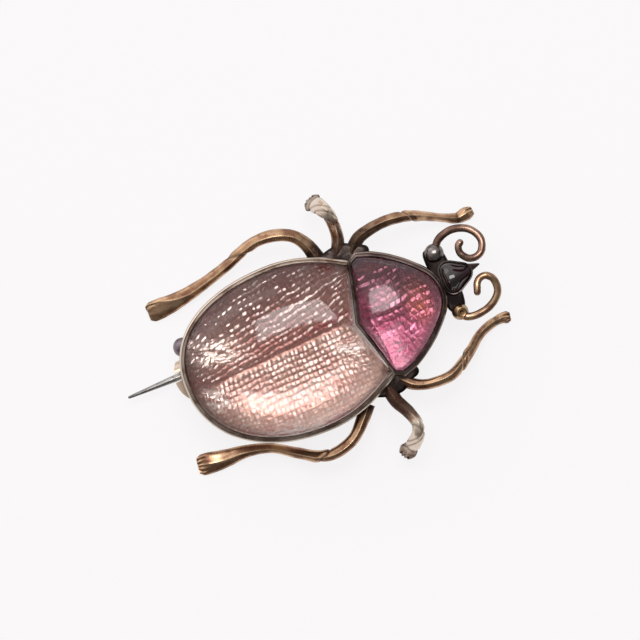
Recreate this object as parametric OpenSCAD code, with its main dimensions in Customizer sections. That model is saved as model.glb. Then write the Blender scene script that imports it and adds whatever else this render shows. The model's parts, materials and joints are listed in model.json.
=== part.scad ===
// Beetle brooch: foiled stones in closed collets, six legs, curled feelers and a hinged pin.
// The back faces down, the head points along +X and the beetle's left side is +Y.

/* [Body] */
// Length of the abdomen collet from the tail to its front corners
body_len = 21.9; // [19:0.1:25]
// Width of the abdomen collet
body_w = 19.4; // [17.5:0.1:21.5]
// Length of the thorax collet in front of those corners
thorax_len = 8.7; // [7.8:0.1:9.6]
// Width of the thorax collet
thorax_w = 14.8; // [13.6:0.1:16]
// Depth of the V in which the thorax enters the abdomen
notch_depth = 1.7; // [1:0.1:2.3]
// Mean radius of the rounded triangle of the head collet
head_r = 1.87; // [1.6:0.01:2.1]
// Wall of the collets
wall = 0.6; // [0.45:0.05:0.75]
// Thickness of the metal between the abdomen and thorax stones
partition = 0.3; // [0.25:0.05:0.4]
// Width of the bright outer lip on the abdomen collet
lip = 0.34; // [0.2:0.02:0.4]
// Thickness of the closed back
back_t = 0.5; // [0.4:0.05:0.7]
// Height of the back over what the feet stand on
back_z = 3.0; // [2.8:0.1:3.6]
// Height of the abdomen collet
abdomen_h = 2.8; // [2.4:0.1:3.2]
// Height of the thorax collet
thorax_h = 2.5; // [2.2:0.1:2.8]
// Height of the head collet
head_h = 2.1; // [1.9:0.1:2.4]

/* [Stones] */
// Rise of the abdomen stone over its collet
abdomen_rise = 3.2; // [2.4:0.1:4]
// Rise of the thorax stone over its collet
thorax_rise = 2.0; // [1.4:0.1:2.6]
// Rise of the head stone over its collet
head_rise = 1.0; // [0.8:0.1:1.4]
// Width of the bevel round the thorax stone, from which the narrower bevels of the others follow
bevel = 0.45; // [0.3:0.05:0.7]
// Width of the steep slope with which the abdomen stone ends in the middle of its V
cut_slope = 0.55; // [0.3:0.05:0.8]
// Space between a stone or a foil and what holds it
stone_gap = 0.05; // [0.03:0.01:0.1]
// Thickness of the foils
foil_t = 0.15; // [0.1:0.05:0.25]

/* [Legs] */
// Width of a leg in its middle
leg_w = 1.4; // [1.1:0.05:1.6]
// Depth of a leg in its middle
leg_d = 1.15; // [0.9:0.05:1.4]
// Height of the underside of a knee over what the feet stand on
leg_rise = 3.9; // [3.4:0.1:4.4]
// Reach of the hind legs towards the tail
hind_reach = 19.4; // [17:0.1:21]
// Reach of the hind legs away from the body
hind_bow = 4.2; // [3.8:0.1:4.8]
// Reach of the middle legs away from the body
mid_reach = 7.0; // [6:0.1:8]
// Reach of the front legs towards the head
front_reach = 13.4; // [12:0.1:15]
// Reach of the front legs away from the body
front_bow = 1.7; // [1.4:0.1:2.2]

/* [Head] */
// Diameter of the left eye ball
left_eye_d = 2.16; // [1.8:0.02:2.4]
// Diameter of the right eye ball
right_eye_d = 1.84; // [1.6:0.02:2.2]
// Distance of the eyes from the middle of the head
eye_out = 3.5; // [3.3:0.05:3.8]
// How far the whole head leans to the left of the middle line
head_lean = 0.4; // [0:0.05:0.6]
// Wire of the feelers
feeler_d = 0.88; // [0.7:0.02:1]
// Reach of the feelers in front of the eyes
feeler_reach = 5.0; // [4.4:0.1:5.6]
// Length of the beak
beak_len = 1.2; // [0.8:0.1:1.5]
// Diameter of the small knob under the tail
knob_d = 2.2; // [1.8:0.1:2.4]

/* [Pin] */
// Diameter of the pin's stem
pin_d = 0.84; // [0.7:0.02:0.9]
// Length of the pin from its hinge to its point
pin_len = 32.1; // [30:0.1:34]
// Length of the taper at the point
taper_len = 5.6; // [4:0.1:7]
// Diameter of the blunt point
point_d = 0.3; // [0.2:0.02:0.4]
// Distance of the pin from the middle line
pin_out = 2.1; // [1.7:0.1:2.4]
// Height of the pin's axis over what the feet stand on
pin_z = 1.7; // [1.6:0.05:1.8]
// Slant of the hinge, which takes the pin sideways out of the catch
hinge_slant = 30; // [25:1:40]
// Diameter of the hinge rivet
rivet_d = 0.72; // [0.6:0.02:0.8]
// Running space between the rivet and the pin's eye, on the radius
rivet_gap = 0.04; // [0.02:0.01:0.08]
// Outer diameter of the pin's eye
loop_d = 1.7; // [1.6:0.05:1.8]
// Width of the pin's eye
loop_w = 1.1; // [1:0.05:1.3]
// Thickness of the hinge ears
ear_t = 0.45; // [0.35:0.05:0.6]
// Space between the pin's eye and an ear
ear_gap = 0.06; // [0.04:0.01:0.1]

/* [Catch] */
// Outer diameter of the curl of the catch
catch_d = 2.4; // [2.2:0.05:2.6]
// Thickness of the catch's sheet
catch_t = 0.35; // [0.25:0.05:0.45]
// Length of the catch along the pin
catch_len = 3.2; // [2.6:0.1:3.8]
// How far the catch stands out past the tail
catch_out = 0.78; // [0.4:0.02:1]
// Width of the catch across the pin
catch_w = 4.6; // [4.2:0.1:5]

/* [Hidden] */

// The abdomen is widest at x = 0, before everything is set over the middle of its box.
wide_share = 0.596;
tail_len = wide_share * body_len;
corner_x = body_len - tail_len;
front_x = corner_x + thorax_len;
half_w = body_w / 2;
tail_power = 2.2;
corner_drop = 0.303;
notch_power = 1.2;
// The hand-made tail leans a little to the left.
tail_lean = 0.5;

// Heights
plate_z = back_z + back_t;
abdomen_top = back_z + abdomen_h;
thorax_top = back_z + thorax_h;
head_top = back_z + head_h;
solder_top = back_z + 0.55 * thorax_h;
foil_z = plate_z + stone_gap;
stone_z = foil_z + foil_t + stone_gap;
lip_drop = 0.2;
head_wall = 0.4 * wall;
// How far a soldered bar goes into the metal it stands on
sunk = 0.05;
// How far a cut runs on past what it cuts
cut_over = 1;

// A smooth curve through rows of numbers, with the same number of steps in each span
function blend(a, b, c, d, t) =
    (2 * b + (c - a) * t + (2 * a - 5 * b + 4 * c - d) * t * t + (3 * b - a - 3 * c + d) * t * t * t) / 2;
function smooth(rows, steps) = let (last = len(rows) - 1)
    [for (i = [0 : last - 1], j = [0 : steps - 1])
        blend(rows[max(i - 1, 0)], rows[i], rows[i + 1], rows[min(i + 2, last)], j / steps), rows[last]];
function unit(v) = v / norm(v);
function backwards(points) = [for (i = [len(points) - 1 : -1 : 0]) points[i]];
function flipped(points) = [for (p = points) [p.x, -p.y]];

// An outline moved inwards with mitred corners
function edge_normal(a, b) = let (e = unit(b - a)) [e.y, -e.x];
function inset(points, distance) = let (n = len(points)) [for (i = [0 : n - 1])
    let (p = points[i],
        n1 = edge_normal(points[(i + n - 1) % n], p),
        n2 = edge_normal(p, points[(i + 1) % n]))
    p - distance * (n1 + n2) / (1 + n1 * n2)];
function level(points, z) = [for (p = points) [p.x, p.y, z]];

// Outline of the abdomen: a V in front, parabolic flanks and a full round tail
function flank(share) = half_w * (1 - corner_drop * share * share);
corner_y = flank(1);
notch_steps = 4;
function notch_line(shift) = [for (j = [-notch_steps : notch_steps])
    let (t = j / notch_steps)
    [corner_x + shift - notch_depth * pow(1 - abs(t), notch_power), corner_y * t]];
flank_steps = 6;
tail_steps = 14;
abdomen_left = concat(
    [for (i = [flank_steps - 1 : -1 : 1]) [corner_x * i / flank_steps, flank(i / flank_steps)]],
    [for (i = [0 : tail_steps - 1]) let (a = 90 * i / tail_steps)
        [-tail_len * pow(sin(a), 2 / tail_power), half_w * pow(cos(a), 2 / tail_power)]]);
function leaning(points) = [for (p = points) [p.x, p.y + tail_lean * pow(min(p.x / tail_len, 0), 2)]];
function abdomen_points(shift) = leaning(concat(notch_line(shift), abdomen_left, [[-tail_len, 0]],
    backwards(flipped(abdomen_left))));
// Each collet's V runs on into the other, so that their two walls make the one partition.
notch_shift = wall - partition / 2;
abdomen_outline = abdomen_points(notch_shift);
abdomen_middle = [-0.05 * tail_len, 0];

// Outline of the thorax: share of its length from the corners, and share of its half width
thorax_rows = [[0.11, 1.00], [0.34, 0.90], [0.60, 0.70], [0.82, 0.46], [0.95, 0.25], [1.00, 0.00]];
thorax_left = [for (p = smooth(thorax_rows, 2)) [corner_x + p[0] * thorax_len, p[1] * thorax_w / 2]];
thorax_front = len(thorax_left) - 1;
thorax_outline = concat(flipped(thorax_left), [for (i = [thorax_front - 1 : -1 : 0]) thorax_left[i]],
    backwards(notch_line(-notch_shift)));
thorax_middle = [corner_x + 0.3 * thorax_len, 0];

// Outline of the head: a rounded triangle with one corner in front
head_steps = 30;
head_point_share = 0.12;
head_middle = [front_x + 0.78 * head_r, head_lean + 0.35];
head_outline = [for (i = [0 : head_steps - 1]) let (a = 360 * i / head_steps)
    head_middle + head_r * (1 + head_point_share * cos(3 * a)) * [cos(a), sin(a)]];

// A solid through rings of points; each ring runs anticlockwise seen from the last ring
module skin(rings) {
    n = len(rings[0]);
    last = len(rings) - 1;
    polyhedron(
        points = [for (ring = rings) each ring],
        faces = concat(
            [[for (i = [0 : n - 1]) i]],
            [[for (i = [n - 1 : -1 : 0]) last * n + i]],
            [for (k = [0 : last - 1], i = [0 : n - 1])
                [k * n + i, (k + 1) * n + i, (k + 1) * n + (i + 1) % n]],
            [for (k = [0 : last - 1], i = [0 : n - 1])
                [k * n + i, (k + 1) * n + (i + 1) % n, k * n + (i + 1) % n]]));
}

// A bar along rows of x, y, z, width and depth, with a section on a circle of radius 1
function heading(rows, i) = let (a = rows[max(i - 1, 0)], b = rows[min(i + 1, len(rows) - 1)])
    unit([b[0] - a[0], b[1] - a[1], b[2] - a[2]]);
function ring_at(rows, i, section) =
    let (t = heading(rows, i), side = unit([-t.y, t.x, 0]), up = cross(t, side), row = rows[i])
    [for (p = section) [row[0], row[1], row[2]] + p.x * row[3] / 2 * side + p.y * row[4] / 2 * up];
function bar(rows, section) = [for (i = [0 : len(rows) - 1]) ring_at(rows, i, section)];

// Legs: each row has its reach along the body, its reach out, the lift of its underside as a share
// of leg_rise, and its width and depth as shares of leg_w and leg_d.
keel_section = [[1, -0.2], [0.66, 0.52], [0, 1], [-0.66, 0.52], [-1, -0.2], [-0.6, -1], [0.6, -1]];
leg_steps = 3;
left_hind_rows = [
    [0.00, -0.06, 0.80, 1.30, 1.15], [0.03, 0.42, 0.86, 1.10, 1.05], [0.09, 0.78, 0.94, 1.00, 1.00],
    [0.20, 0.98, 1.00, 0.98, 1.00], [0.33, 0.97, 0.90, 0.93, 1.00], [0.50, 0.70, 0.60, 0.90, 0.95],
    [0.66, 0.50, 0.28, 0.92, 0.90], [0.82, 0.37, 0.06, 1.10, 0.85], [0.93, 0.345, 0.00, 1.60, 0.80],
    [0.985, 0.345, 0.00, 1.45, 0.60]];
right_hind_rows = [
    [0.00, -0.06, 0.80, 1.25, 1.15], [0.06, 0.30, 0.86, 1.05, 1.05], [0.15, 0.70, 0.92, 0.95, 1.00],
    [0.27, 0.88, 0.90, 0.93, 1.00], [0.37, 0.78, 0.70, 0.93, 1.00], [0.48, 0.44, 0.44, 0.88, 0.95],
    [0.60, 0.06, 0.24, 0.78, 0.90], [0.74, -0.13, 0.10, 0.88, 0.85], [0.88, -0.17, 0.01, 1.32, 0.80],
    [0.96, -0.22, 0.00, 1.60, 0.75], [1.00, -0.25, 0.00, 1.40, 0.60]];
left_mid_rows = [
    [0.00, 0.00, 0.80, 1.15, 1.15], [-0.10, 0.22, 0.95, 1.00, 1.05], [-0.13, 0.44, 1.30, 0.98, 1.00],
    [-0.12, 0.62, 1.58, 1.05, 1.00], [-0.05, 0.77, 1.52, 1.20, 0.95], [0.02, 0.88, 1.05, 1.40, 0.85],
    [0.06, 0.95, 0.52, 1.40, 0.70]];
right_mid_rows = [
    [0.00, -0.05, 0.80, 1.25, 1.15], [-0.03, 0.20, 0.92, 1.12, 1.05], [-0.14, 0.44, 1.28, 1.00, 1.00],
    [-0.20, 0.66, 1.55, 0.95, 1.00], [-0.14, 0.84, 1.45, 1.05, 0.95], [0.02, 0.97, 0.95, 1.25, 0.85],
    [0.14, 1.04, 0.48, 1.30, 0.70]];
left_front_rows = [
    [-0.02, -0.10, 0.80, 1.20, 1.15], [0.07, 0.60, 0.88, 1.05, 1.05], [0.19, 0.88, 0.96, 0.98, 1.00],
    [0.33, 0.97, 1.00, 0.92, 1.00], [0.45, 0.86, 0.94, 0.90, 1.00], [0.56, 0.62, 0.74, 0.85, 0.95],
    [0.67, 0.22, 0.46, 0.75, 0.90], [0.79, -0.26, 0.18, 0.68, 0.85], [0.89, -0.60, 0.02, 0.90, 0.80],
    [0.97, -0.56, 0.00, 1.10, 0.75], [1.00, -0.54, 0.00, 0.95, 0.60]];
right_front_rows = [
    [0.00, -0.10, 0.80, 1.15, 1.15], [0.08, 0.52, 0.86, 0.95, 1.05], [0.18, 0.88, 0.94, 0.85, 1.00],
    [0.29, 1.00, 1.00, 0.85, 1.00], [0.40, 0.95, 0.96, 0.88, 1.00], [0.50, 0.60, 0.78, 0.85, 0.95],
    [0.62, -0.02, 0.50, 0.80, 0.90], [0.73, -0.68, 0.24, 0.76, 0.88], [0.84, -1.06, 0.06, 0.75, 0.85],
    [0.95, -1.20, 0.00, 0.82, 0.80], [1.00, -1.14, 0.00, 1.00, 0.60]];
function leg_path(rows, root, along, out, side) = [for (row = smooth(rows, leg_steps))
    [root.x + row[0] * along, side * (root.y + row[1] * out), row[2] * leg_rise + row[4] * leg_d / 2,
        row[3] * leg_w, row[4] * leg_d]];
function on_flank(share) = [share * corner_x, flank(share)];
shoulder_y = (corner_y + thorax_w / 2) / 2;
legs = [
    bar(leg_path(left_hind_rows, on_flank(0.66), -hind_reach, hind_bow, 1), keel_section),
    bar(leg_path(right_hind_rows, on_flank(0.54), -hind_reach, hind_bow * 0.92, -1), keel_section),
    bar(leg_path(left_mid_rows, [0.90 * corner_x, shoulder_y + 0.7], -mid_reach, mid_reach, 1), keel_section),
    bar(leg_path(right_mid_rows, [0.86 * corner_x, shoulder_y + 0.9], -mid_reach, mid_reach, -1),
        keel_section),
    bar(leg_path(left_front_rows, [1.11 * corner_x, shoulder_y + 0.5], front_reach, front_bow, 1),
        keel_section),
    bar(leg_path(right_front_rows, [1.04 * corner_x, shoulder_y + 0.5], front_reach, front_bow, -1),
        keel_section)
];

// Feelers: each row has its place and its lift from the middle of the eye, as shares of feeler_reach
feeler_sides = 8;
feeler_section = [for (i = [0 : feeler_sides - 1]) let (a = 360 * (i + 0.5) / feeler_sides) [cos(a), sin(a)]];
feeler_steps = 2;
left_feeler_rows = [
    [0.086, 0.110, 0.00], [0.178, 0.228, 0.02], [0.344, 0.310, 0.05], [0.520, 0.338, 0.09],
    [0.712, 0.308, 0.13], [0.890, 0.218, 0.17], [1.016, 0.070, 0.21], [1.064, -0.092, 0.25],
    [1.034, -0.246, 0.29], [0.946, -0.370, 0.33], [0.814, -0.418, 0.36], [0.670, -0.394, 0.39],
    [0.574, -0.304, 0.41], [0.524, -0.184, 0.42], [0.544, -0.058, 0.43], [0.610, 0.000, 0.43]];
right_feeler_rows = [
    [0.034, -0.084, 0.00], [0.080, -0.146, 0.01], [0.216, -0.196, 0.03], [0.400, -0.200, 0.05],
    [0.620, -0.150, 0.07], [0.816, -0.040, 0.10], [0.934, 0.102, 0.13], [0.964, 0.280, 0.16],
    [0.926, 0.426, 0.19], [0.812, 0.524, 0.21], [0.680, 0.516, 0.23], [0.584, 0.436, 0.25],
    [0.530, 0.306, 0.26], [0.510, 0.254, 0.26]];
left_eye = [front_x + 0.32, head_lean + eye_out, solder_top];
right_eye = [front_x + 0.53, head_lean - eye_out, solder_top];
function feeler(rows, eye) = bar([for (row = smooth(rows, feeler_steps))
    let (p = eye + row * feeler_reach) [p.x, p.y, p.z, feeler_d, feeler_d]], feeler_section);
feelers = [feeler(left_feeler_rows, left_eye), feeler(right_feeler_rows, right_eye)];

// Pin, hinge and catch
hinge_x = corner_x + 0.45 * thorax_len;
rivet_r = rivet_d / 2;
ear_middle = loop_w / 2 + ear_gap + ear_t / 2;
ear_r = 0.8;
rivet_head_r = 0.56;
rivet_head_t = 0.2;
rivet_fit = 0.02;
// The catch reaches further left of the middle line than right of it, and its end is a bow.
catch_right = 0.83;
catch_middle = catch_w / 2 - catch_right;
catch_tail = -tail_len - catch_out;
catch_bow_r = 3.1;
curl_r = catch_d / 2;
curl_y = catch_w - catch_right - curl_r;
curl_z = back_z - curl_r;
// Space round the pin when it leaves the catch
pin_clear = 0.12;
// The stem is straight from the hinge to just before the catch, and slims a little inside the catch.
straight_len = hinge_x - catch_tail - catch_len - 0.4;
slim_d = 0.95 * pin_d;

// The whole brooch is set over the middle of its box, with its feet at z = 0.
limb_points = [for (part = concat(legs, feelers), ring = part, p = ring) p];
low_x = hinge_x - pin_len;
high_x = max([for (p = limb_points) p.x]);
low_y = min([for (p = limb_points) p.y]);
high_y = max([for (p = limb_points) p.y]);
low_z = min([for (p = limb_points) p.z]);
module placed() {
    translate([-(low_x + high_x) / 2, -(low_y + high_y) / 2, -low_z])
        children();
}

module prism(points, z0, z1) {
    translate([0, 0, z0])
        linear_extrude(height = z1 - z0)
            polygon(points);
}

// Solder at a shoulder, where three legs meet the collets
// rows have their place along as a share of corner_x and out as a share of shoulder_y
shoulder_rows = [[0.50, 0.96], [0.62, 1.06], [0.80, 1.16], [1.00, 1.18], [1.13, 1.07], [1.24, 1.01],
    [1.10, 0.82], [0.90, 0.87], [0.55, 0.89]];
module shoulder(side) {
    prism([for (row = shoulder_rows) [row[0] * corner_x, side * row[1] * shoulder_y]], back_z, solder_top);
}

// Solder between thorax, head and eyes; rows have their place along as a share of head_r and
// out as a share of eye_out
neck_rows = [[-0.50, 1.06], [-0.29, -0.78], [0.19, -1.02], [0.72, -0.86], [0.88, -0.26], [0.78, 0.63],
    [0.61, 1.03], [0.03, 1.20]];
module neck() {
    prism([for (row = neck_rows) [front_x + row[0] * head_r, head_lean + row[1] * eye_out]], back_z,
        solder_top);
}

module at_hinge() {
    translate([hinge_x, pin_out, pin_z])
        rotate([-hinge_slant, 0, 0])
            children();
}

module across(radius, length) {
    rotate([90, 0, 0])
        cylinder(r = radius, h = length, center = true, $fn = 48);
}

module hinge_ears() {
    intersection() {
        at_hinge()
            difference() {
                for (side = [-1, 1])
                    translate([0, side * ear_middle, 0]) {
                        across(ear_r, ear_t);
                        translate([-ear_r, -ear_t / 2, 0])
                            cube([2 * ear_r, ear_t, back_z]);
                    }
                across(rivet_r + rivet_fit, 2 * ear_middle + 2 * ear_t);
            }
        translate([hinge_x - 2 * loop_d, pin_out - body_w / 2, 0])
            cube([4 * loop_d, body_w, back_z + sunk]);
    }
}

// Catch: a flat tongue under the back whose left end curls down round the pin's path
module catch_profile() {
    out = [cos(hinge_slant), -sin(hinge_slant)];
    down = [-sin(hinge_slant), -cos(hinge_slant)];
    edge = [pin_out, pin_z] + (pin_d / 2 + pin_clear) * out;
    meet = edge + (curl_y - edge.x) / down.x * down;
    difference() {
        translate([curl_y, curl_z])
            circle(r = curl_r, $fn = 64);
        translate([curl_y, curl_z])
            circle(r = curl_r - catch_t, $fn = 64);
        polygon([[curl_y, back_z + cut_over], [curl_y - catch_w, back_z + cut_over],
            edge + catch_w * down - [catch_w, 0], edge + catch_w * down, meet]);
    }
    translate([-catch_right, back_z - catch_t])
        square([curl_y + catch_right + sunk, catch_t + sunk]);
}

module catch() {
    difference() {
        intersection() {
            translate([catch_tail, 0, 0])
                rotate([90, 0, 90])
                    linear_extrude(height = catch_len)
                        catch_profile();
            translate([catch_tail + catch_bow_r, catch_middle, 0])
                union() {
                    cylinder(r = catch_bow_r, h = back_z + cut_over, $fn = 96);
                    translate([0, -catch_bow_r, 0])
                        cube([catch_len, 2 * catch_bow_r, back_z + cut_over]);
                }
        }
        translate([catch_tail - cut_over, pin_out - pin_d / 2 - sunk, back_z - 2 * catch_t])
            cube([catch_out + cut_over, pin_d + 2 * sunk, 3 * catch_t]);
    }
}

module collets() {
    difference() {
        union() {
            prism(abdomen_outline, back_z, abdomen_top);
            prism(thorax_outline, back_z, thorax_top);
            prism(head_outline, back_z, head_top);
            shoulder(1);
            shoulder(-1);
            neck();
        }
        prism(inset(abdomen_outline, wall), plate_z, abdomen_top + cut_over);
        prism(inset(abdomen_points(lip), lip), abdomen_top - lip_drop, abdomen_top + cut_over);
        prism(inset(thorax_outline, wall), plate_z, abdomen_top + cut_over);
        prism(inset(head_outline, head_wall), plate_z, abdomen_top + cut_over);
    }
}

module setting() placed() color("darkgoldenrod") {
    collets();
    hinge_ears();
    catch();
    for (rings = legs)
        skin(rings);
    for (rings = feelers)
        skin(rings);
    translate(left_eye)
        sphere(d = left_eye_d, $fn = 48);
    translate(right_eye)
        sphere(d = right_eye_d, $fn = 48);
    translate([head_middle.x + head_r, head_middle.y + 0.2, back_z + 0.6 * head_h])
        rotate([0, 90, 0])
            cylinder(r1 = 0.26 * head_r, r2 = 0.04 * head_r, h = beak_len, $fn = 32);
    translate([-0.89 * tail_len, 0.51 * half_w, back_z - 0.3 * knob_d])
        sphere(d = knob_d, $fn = 48);
}

// A stone with a vertical girdle, a bevel and a dome. The dome is one smooth oval hill with the half
// axes in oval, let down to the bevel in its outer rings, which are given as shares of its size. Where a
// V cuts into the stone's full round, the dome is let down by the share of the way out to that round,
// and the bevel widens by up to cut to the steep slope in which it ends.
dome_rings = [1.00, 0.94, 0.87, 0.78, 0.66, 0.52, 0.36, 0.20];
dome_cap = 0.07;
dome_edge_power = 5;
function dome_share(v, oval, share, round_share) = (1 - pow(share * round_share, dome_edge_power))
    * sqrt(1 - pow(v.x * share / oval.x, 2) - pow(v.y * share / oval.y, 2));
function way_to_round(v, corner, half) = v.x < 0 ? 1 :
    min(1, norm([v.x / corner.x * sqrt(1 - pow(corner.y / half, 2)), v.y / half]));
module stone(points, middle, oval, top, rise, edge, edge_rise, cut = 0) {
    half = max([for (p = points) p.y - middle.y]);
    round_shares = [for (p = points) cut > 0 ? way_to_round(p - middle, points[0] - middle, half) : 1];
    inner = [for (i = [0 : len(points) - 1])
        points[i] - (edge + cut * (1 - pow(round_shares[i], dome_edge_power))) * unit(points[i] - middle)];
    skin(concat(
        [level(points, stone_z), level(points, top)],
        [for (share = dome_rings) [for (i = [0 : len(inner) - 1])
            let (v = inner[i] - middle, q = middle + share * v)
            [q.x, q.y, top + edge_rise
                + (rise - edge_rise) * dome_share(v, oval, share, round_shares[i])]]],
        [level([for (p = inner) middle + dome_cap * (p - middle)], top + rise)]));
}

abdomen_seat = inset(abdomen_outline, wall + stone_gap);
thorax_seat = inset(thorax_outline, wall + stone_gap);
head_seat = inset(head_outline, head_wall + stone_gap);

module abdomen_stone() placed() color("rosybrown")
    stone(abdomen_seat, abdomen_middle, [0.64 * body_len, 0.56 * body_w], abdomen_top - lip_drop,
        abdomen_rise + lip_drop, 0.5 * bevel, 0.08 * abdomen_rise, cut_slope);

module thorax_stone() placed() color("palevioletred")
    stone(thorax_seat, thorax_middle, [0.92 * thorax_len, 0.56 * thorax_w], thorax_top, thorax_rise,
        bevel, 0.2 * thorax_rise);

module head_stone() placed() color("maroon")
    stone(head_seat, head_middle, [1.2 * head_r, 1.2 * head_r], head_top, head_rise, 0.3 * bevel,
        0.08 * head_rise);

module abdomen_foil() placed() color("mistyrose")
    prism(abdomen_seat, foil_z, foil_z + foil_t);

module thorax_foil() placed() color("hotpink")
    prism(thorax_seat, foil_z, foil_z + foil_t);

module pin_stem() placed() color("gray")
    difference() {
        union() {
            at_hinge()
                across(loop_d / 2, loop_w);
            translate([hinge_x, pin_out, pin_z])
                rotate([0, -90, 0]) {
                    cylinder(d = pin_d, h = straight_len, $fn = 32);
                    translate([0, 0, straight_len])
                        cylinder(d1 = pin_d, d2 = slim_d, h = pin_len - taper_len - straight_len, $fn = 32);
                    translate([0, 0, pin_len - taper_len])
                        cylinder(d1 = slim_d, d2 = point_d, h = taper_len, $fn = 32);
                }
        }
        at_hinge()
            across(rivet_r + rivet_gap, 2 * loop_w);
    }

module hinge_rivet() placed() color("silver")
    at_hinge() {
        across(rivet_r, 2 * ear_middle + ear_t + 2 * rivet_fit);
        for (side = [-1, 1])
            translate([0, side * (ear_middle + ear_t / 2 + rivet_fit + rivet_head_t / 2), 0])
                across(rivet_head_r, rivet_head_t);
    }

setting();
abdomen_stone();
thorax_stone();
head_stone();
abdomen_foil();
thorax_foil();
pin_stem();
hinge_rivet();
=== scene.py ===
import json
import bpy
import numpy as np
from mathutils import Matrix, Vector


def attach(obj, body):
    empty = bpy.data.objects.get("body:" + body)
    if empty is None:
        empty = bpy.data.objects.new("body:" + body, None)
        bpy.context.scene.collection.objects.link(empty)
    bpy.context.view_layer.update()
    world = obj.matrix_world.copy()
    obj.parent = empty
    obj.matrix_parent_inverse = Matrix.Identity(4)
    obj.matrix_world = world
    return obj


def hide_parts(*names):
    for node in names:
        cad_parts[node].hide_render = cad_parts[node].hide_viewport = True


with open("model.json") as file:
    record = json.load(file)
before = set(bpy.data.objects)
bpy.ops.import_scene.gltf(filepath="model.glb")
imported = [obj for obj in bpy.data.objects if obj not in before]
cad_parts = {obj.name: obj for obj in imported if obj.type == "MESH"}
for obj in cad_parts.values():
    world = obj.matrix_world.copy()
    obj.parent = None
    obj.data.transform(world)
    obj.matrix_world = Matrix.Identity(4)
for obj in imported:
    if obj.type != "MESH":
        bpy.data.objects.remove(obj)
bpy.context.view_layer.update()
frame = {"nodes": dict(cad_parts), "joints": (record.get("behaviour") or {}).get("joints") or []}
nodes = frame["nodes"]

mm = 0.001
hinge = next(j for j in frame["joints"] if j["name"] == "pin_hinge")

# Sizes that several pieces share, in mm, counted from the widest place of the abdomen
body = {
    "tailLength": 13.0524, "cornerX": 8.8476, "noseX": 17.5476, "halfWidth": 9.7,
    "thoraxLength": 8.7, "thoraxHalf": 7.4, "notchDepth": 1.7, "notchPower": 1.2,
    "tailPower": 2.2, "cornerDrop": 0.303, "tailLean": 0.5, "wall": 0.6, "partition": 0.3, "seatGap": 0.06,
    "headRadius": 1.87, "headPoint": 0.12, "headWall": 0.24, "headLean": 0.4, "eyeOut": 3.5,
    "backZ": 3.0, "plateZ": 3.5, "foilZ": 3.55, "stoneZ": 3.75,
    "abdomenTop": 5.8, "thoraxTop": 5.5, "headTop": 5.1, "solderTop": 4.375,
}
hingeSpot = np.array([12.7626, 2.1, 1.7])
shift = np.array(hinge["pos_m"]) / mm - hingeSpot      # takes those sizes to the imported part
cornerY = body["halfWidth"] * (1 - body["cornerDrop"])
headMiddle = np.array([body["noseX"] + 0.78 * body["headRadius"], body["headLean"] + 0.35])


# Curves and outlines

def spline(rows, steps, closed=False):
    # Each span is the cubic through its two rows that heads for the rows beside them; closed, it runs round
    rows = np.asarray(rows, float)
    held = np.vstack([rows[-1:], rows, rows[:2]] if closed else [rows[:1], rows, rows[-1:]])
    a, b, c, d = (held[k:k + len(held) - 3, None] for k in range(4))
    t = (np.arange(steps) / steps)[None, :, None]
    curve = (2 * b + (c - a) * t + (2 * a - 5 * b + 4 * c - d) * t**2 + (3 * b - a - 3 * c + d) * t**3) / 2
    curve = curve.reshape(-1, rows.shape[1])
    return curve if closed else np.vstack([curve, rows[-1:]])


def roundTurn(count):
    return np.linspace(0, 2 * np.pi, count, endpoint=False)


def circle(a):
    return np.stack([np.cos(a), np.sin(a)], -1)


def unit(ways):
    return ways / np.linalg.norm(ways, axis=-1, keepdims=True)


def leftOf(steps):
    # The way square to each step, on its left
    steps = unit(steps)
    return np.stack([-steps[:, 1], steps[:, 0]], 1)


def evenly(points, count):
    # Points at even steps along a broken line, without its last one
    points = np.asarray(points, float)
    length = np.r_[0, np.cumsum(np.linalg.norm(np.diff(points, axis=0), axis=1))]
    at = np.linspace(0, length[-1], count, endpoint=False)
    return np.stack([np.interp(at, length, column) for column in points.T], 1)


def inwards(outline):
    # The mitred way in at each point: the sum of its two edge normals over one plus their product
    before = leftOf(outline - np.roll(outline, 1, 0))
    after = leftOf(np.roll(outline, -1, 0) - outline)
    return (before + after) / (1 + np.sum(before * after, 1, keepdims=True))


def movedIn(outline, distance):
    # An outline moved along its mitres; points that a corner's mitre overtakes end up too near the outline,
    # and are spread between those that don't
    moved = outline + distance * inwards(outline)
    near = np.linalg.norm(moved[:, None] - outline, axis=-1).min(1)
    kept = np.flatnonzero(near > 0.97 * distance)
    at = np.arange(len(outline))
    return np.stack([np.interp(at, kept, moved[kept, k], period=len(outline)) for k in (0, 1)], 1)


def notchLine(ahead):
    # A V across the body whose depth falls off with a power of the share from its middle
    t = np.linspace(-1, 1, 41)
    x = body["cornerX"] + ahead - body["notchDepth"] * (1 - np.abs(t)) ** body["notchPower"]
    return np.stack([x, cornerY * t], 1)


def onFlank(share):
    # A place on the abdomen's parabolic flank, by its share of the way to the corner
    return np.stack([body["cornerX"] * share, body["halfWidth"] * (1 - body["cornerDrop"] * share**2)], -1)


def abdomenOutline(ahead):
    # The V, parabolic flanks, and a tail whose ellipse has the power tailPower for 2
    line = notchLine(ahead)
    share = np.linspace(0.97, 0, 30)
    a = np.linspace(0, np.pi / 2, 90)[1:]
    power = 2 / body["tailPower"]
    left = np.vstack([
        line[-1:], onFlank(share),
        np.stack([-body["tailLength"] * np.sin(a)**power, body["halfWidth"] * np.cos(a)**power], 1)])
    flanks = np.vstack([left, left[-2::-1] * [1, -1]])
    points = np.vstack([evenly(line[:21], 18), evenly(line[20:], 18), evenly(flanks, 180)])
    points[:, 1] += body["tailLean"] * np.minimum(points[:, 0] / body["tailLength"], 0)**2
    return points


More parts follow.
